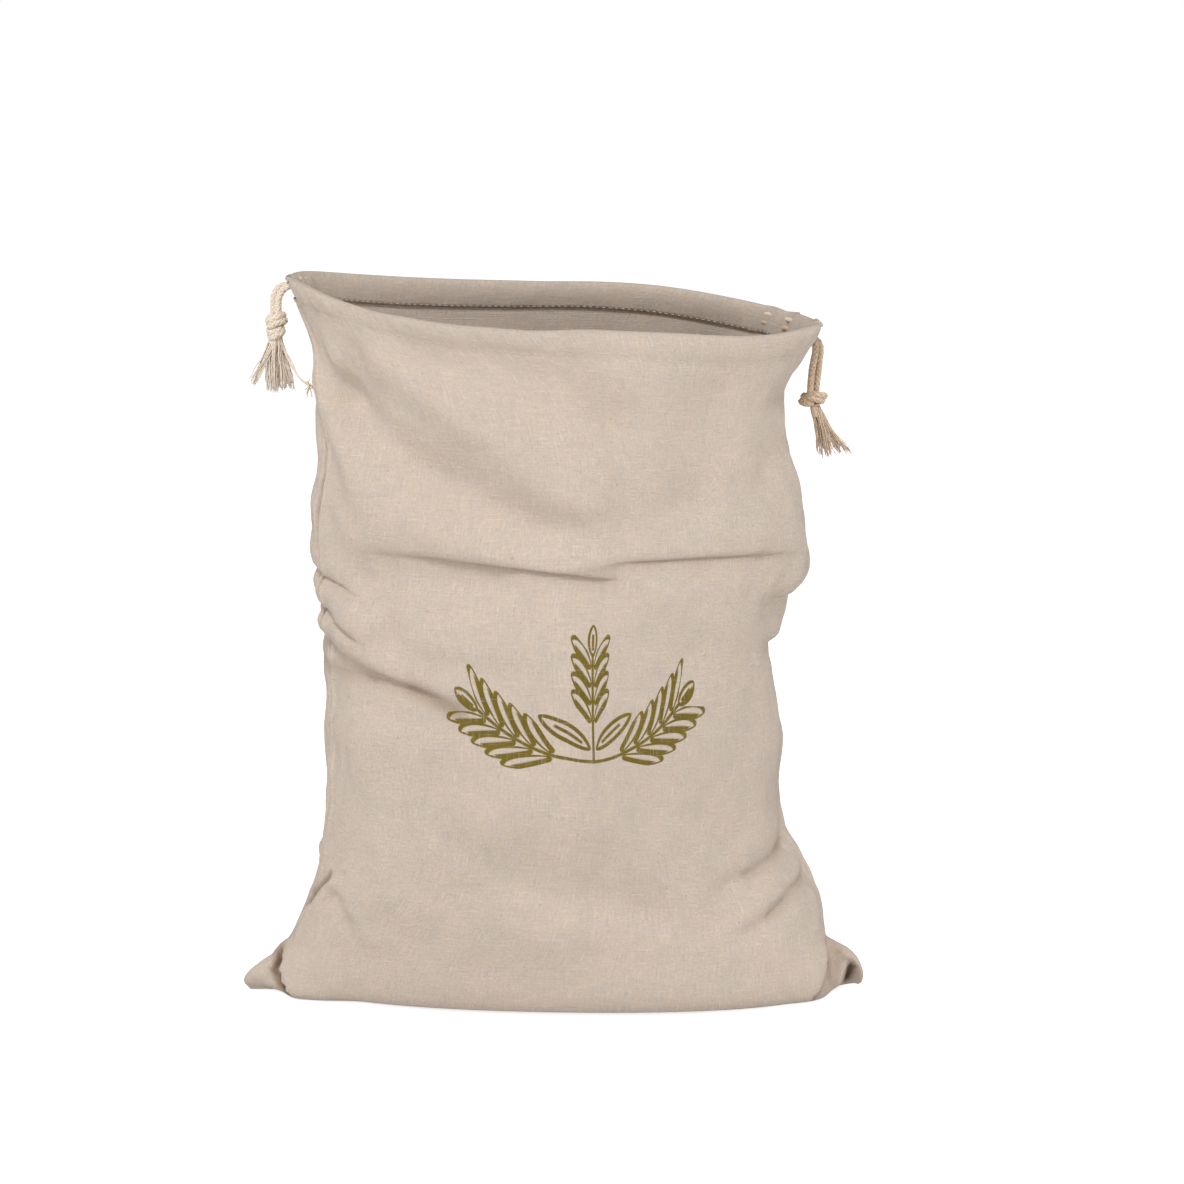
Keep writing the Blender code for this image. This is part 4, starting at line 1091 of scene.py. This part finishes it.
# Tassels: locks of loose yarn; each has its yarn count, then where its middle and its tip lie from the neck
# and how wide the yarns are spread there
leftTassel = dict(
    neck=(-140.4, 0, 343.0), neckRadius=2.9, seed=4, yarn=0.34,
    locks=((34, (-5.0, -1.0, -9.5), 2.2, (-12.6, -0.5, -23.5), 1.7),
           (88, (-0.8, 0.0, -11.0), 5.0, (-0.8, 0.5, -27.0), 6.6),
           (34, (4.2, 0.8, -12.0), 2.4, (7.4, 0.5, -26.5), 2.2)),
    caught=dict(strands=3, tuft=14, tuftLength=2.8,
                route=((-136.6, -2.0, 336.0), (-132.2, -4.2, 328.4), (-128.0, -10.4, 322.0), (-123.6, -18.6, 320.2))))
rightTassel = dict(
    neck=(136.4, -0.6, 304.6), neckRadius=2.6, seed=9, yarn=0.26,
    locks=((66, (3.0, -0.3, -11.0), 3.4, (5.6, 0.3, -25.0), 4.0),
           (40, (6.4, 0.4, -10.0), 2.4, (13.6, 0.5, -23.6), 2.6),
           (22, (8.0, -0.6, -11.5), 1.2, (18.0, -0.4, -23.0), 1.2)),
    caught=None)


def makeTasselPiece(name, tassel, material, node):
    chance = np.random.default_rng(tassel["seed"])
    neck = np.array(tassel["neck"])
    parts = []
    for count, middle, middleWide, tip, tipWide in tassel["locks"]:
        for _ in range(count):
            turn, away = chance.uniform(0, 2 * math.pi), math.sqrt(chance.uniform(0, 1))
            spot = np.array([math.cos(turn), math.sin(turn), 0]) * away
            length = chance.uniform(0.84, 1.04)
            start = neck + spot * tassel["neckRadius"] + (0, 0, 1.0)
            halfWay = neck + np.array(middle) + spot * (middleWide, middleWide * 0.8, 0)
            end = neck + np.array(tip) * length + spot * (tipWide, tipWide * 0.7, 0)
            end = end + chance.normal(0, 0.7, 3)
            share = np.linspace(0, 1, 12)[:, None]
            bend = 2 * halfWay - (start + end) / 2
            path = (1 - share) ** 2 * start + 2 * share * (1 - share) * bend + share**2 * end
            wave = chance.uniform(0.15, 0.5) * share
            curls = np.sin(share * chance.uniform(9, 16) + chance.uniform(0, 6))
            path = path + wave * curls * chance.normal(0, 1, 3) * (1, 1, 0.3)
            radius = tassel["yarn"] * chance.uniform(0.75, 1.25) * (1 - 0.55 * share[:, 0] ** 3)
            parts.append(pieceFromMesh(name, tubeMesh(name, path, radius, 4), material))
    # a few yarns caught on the seam, with a small tuft where they hold
    if tassel["caught"]:
        caught = tassel["caught"]
        line = smoothRoute(caught["route"], 1.2)
        for k in range(caught["strands"]):
            path = line + chance.normal(0, 0.25, 3) + 0.25 * np.sin(np.linspace(k, k + 9, len(line)))[:, None]
            parts.append(pieceFromMesh(name, tubeMesh(name, path, tassel["yarn"], 4), material))
        for _ in range(caught["tuft"]):
            end = line[-1] + chance.normal(0, 1, 3) * (0.5, 0.5, 0.8) * caught["tuftLength"]
            middle = (line[-1] + end) / 2 + chance.normal(0, 0.4, 3)
            path = smoothRoute((line[-1], middle, end), 0.8)
            parts.append(pieceFromMesh(name, tubeMesh(name, path, tassel["yarn"], 4), material))
    foot = neck + np.array(tassel["locks"][0][1]) * 0.35 + (0, 0, -1)
    core = smoothRoute([neck + (0, 0, 2.0), neck + (0, 0, -1.0), foot], 1)
    parts.append(pieceFromMesh(name, tubeMesh(name, core, tassel["neckRadius"] * 0.95, 12), material))
    piece = joined(parts, name)
    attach(piece, "root")
    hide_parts(node)
    return piece


leftTasselPiece = makeTasselPiece("leftTassel", leftTassel, leftCotton, "tassel_left")
rightTasselPiece = makeTasselPiece("rightTassel", rightTassel, rightCotton, "tassel_right")
print("tassels made")


# Studio: a wide pale floor, an even white surround, a soft light high in front and to the left, and a weak low
# light at each side
studio = dict(surround=0.28, floorGlow=0.76, floorSize=14, floorDown=0.0002, lookAt=(0, 0, 0.18), lights=dict(
    keyLight=dict(place=(-0.7, -3.3, 4.1), power=138.0, size=1.3),
    leftStrip=dict(place=(-1.8, -0.9, 0.25), power=13.5, size=1.0),
    rightStrip=dict(place=(1.85, -0.9, 0.25), power=18.0, size=1.2)))


def makeStudio():
    clearSelection()
    bpy.ops.mesh.primitive_plane_add(size=studio["floorSize"], location=(0, 0, -studio["floorDown"]))
    floor = bpy.context.object
    floor.name = "studioFloor"
    material = bpy.data.materials.new("studioPaper")
    material.use_nodes = True
    shader = material.node_tree.nodes["Principled BSDF"]
    # the paper looks whiter than the light it throws back
    tree = material.node_tree
    path = tree.nodes.new("ShaderNodeLightPath")
    seen = path.outputs["Is Camera Ray"]
    place = tree.nodes.new("ShaderNodeTexCoord")
    grain = noiseOf(tree, place.outputs["Object"], 3, 2)
    paper = mixColours(tree, grain, (0.93, 0.93, 0.93, 1), (0.95, 0.95, 0.95, 1))
    valueInto(tree, shader.inputs["Base Color"], mixColours(tree, seen, (0.85, 0.85, 0.85, 1), paper))
    shader.inputs["Emission Color"].default_value = (1, 1, 1, 1)
    valueInto(tree, shader.inputs["Emission Strength"], calc(tree, "MULTIPLY", seen, studio["floorGlow"]))
    shader.inputs["Roughness"].default_value = 1
    shader.inputs["Specular IOR Level"].default_value = 0
    floor.data.materials.append(material)
    for name, lamp in studio["lights"].items():
        bpy.ops.object.light_add(type="AREA", location=lamp["place"])
        light = bpy.context.object
        light.name = name
        light.data.energy = lamp["power"]
        light.data.size = lamp["size"]
        away = Vector(lamp["place"]) - Vector(studio["lookAt"])
        light.rotation_euler = away.to_track_quat("Z", "Y").to_euler()
    world = bpy.data.worlds.new("whiteSurround")
    bpy.context.scene.world = world
    world.use_nodes = True
    tree = world.node_tree
    back = tree.nodes["Background"]
    back.inputs["Color"].default_value = (1, 1, 1, 1)
    path = tree.nodes.new("ShaderNodeLightPath")
    strength = ramp(tree, path.outputs["Is Camera Ray"], 0, 1, studio["surround"], 1.0)
    valueInto(tree, back.inputs["Strength"], strength)
    bpy.context.scene.view_settings.view_transform = "Standard"
    return floor


floor = makeStudio()
print("studio ready")

clearSelection()
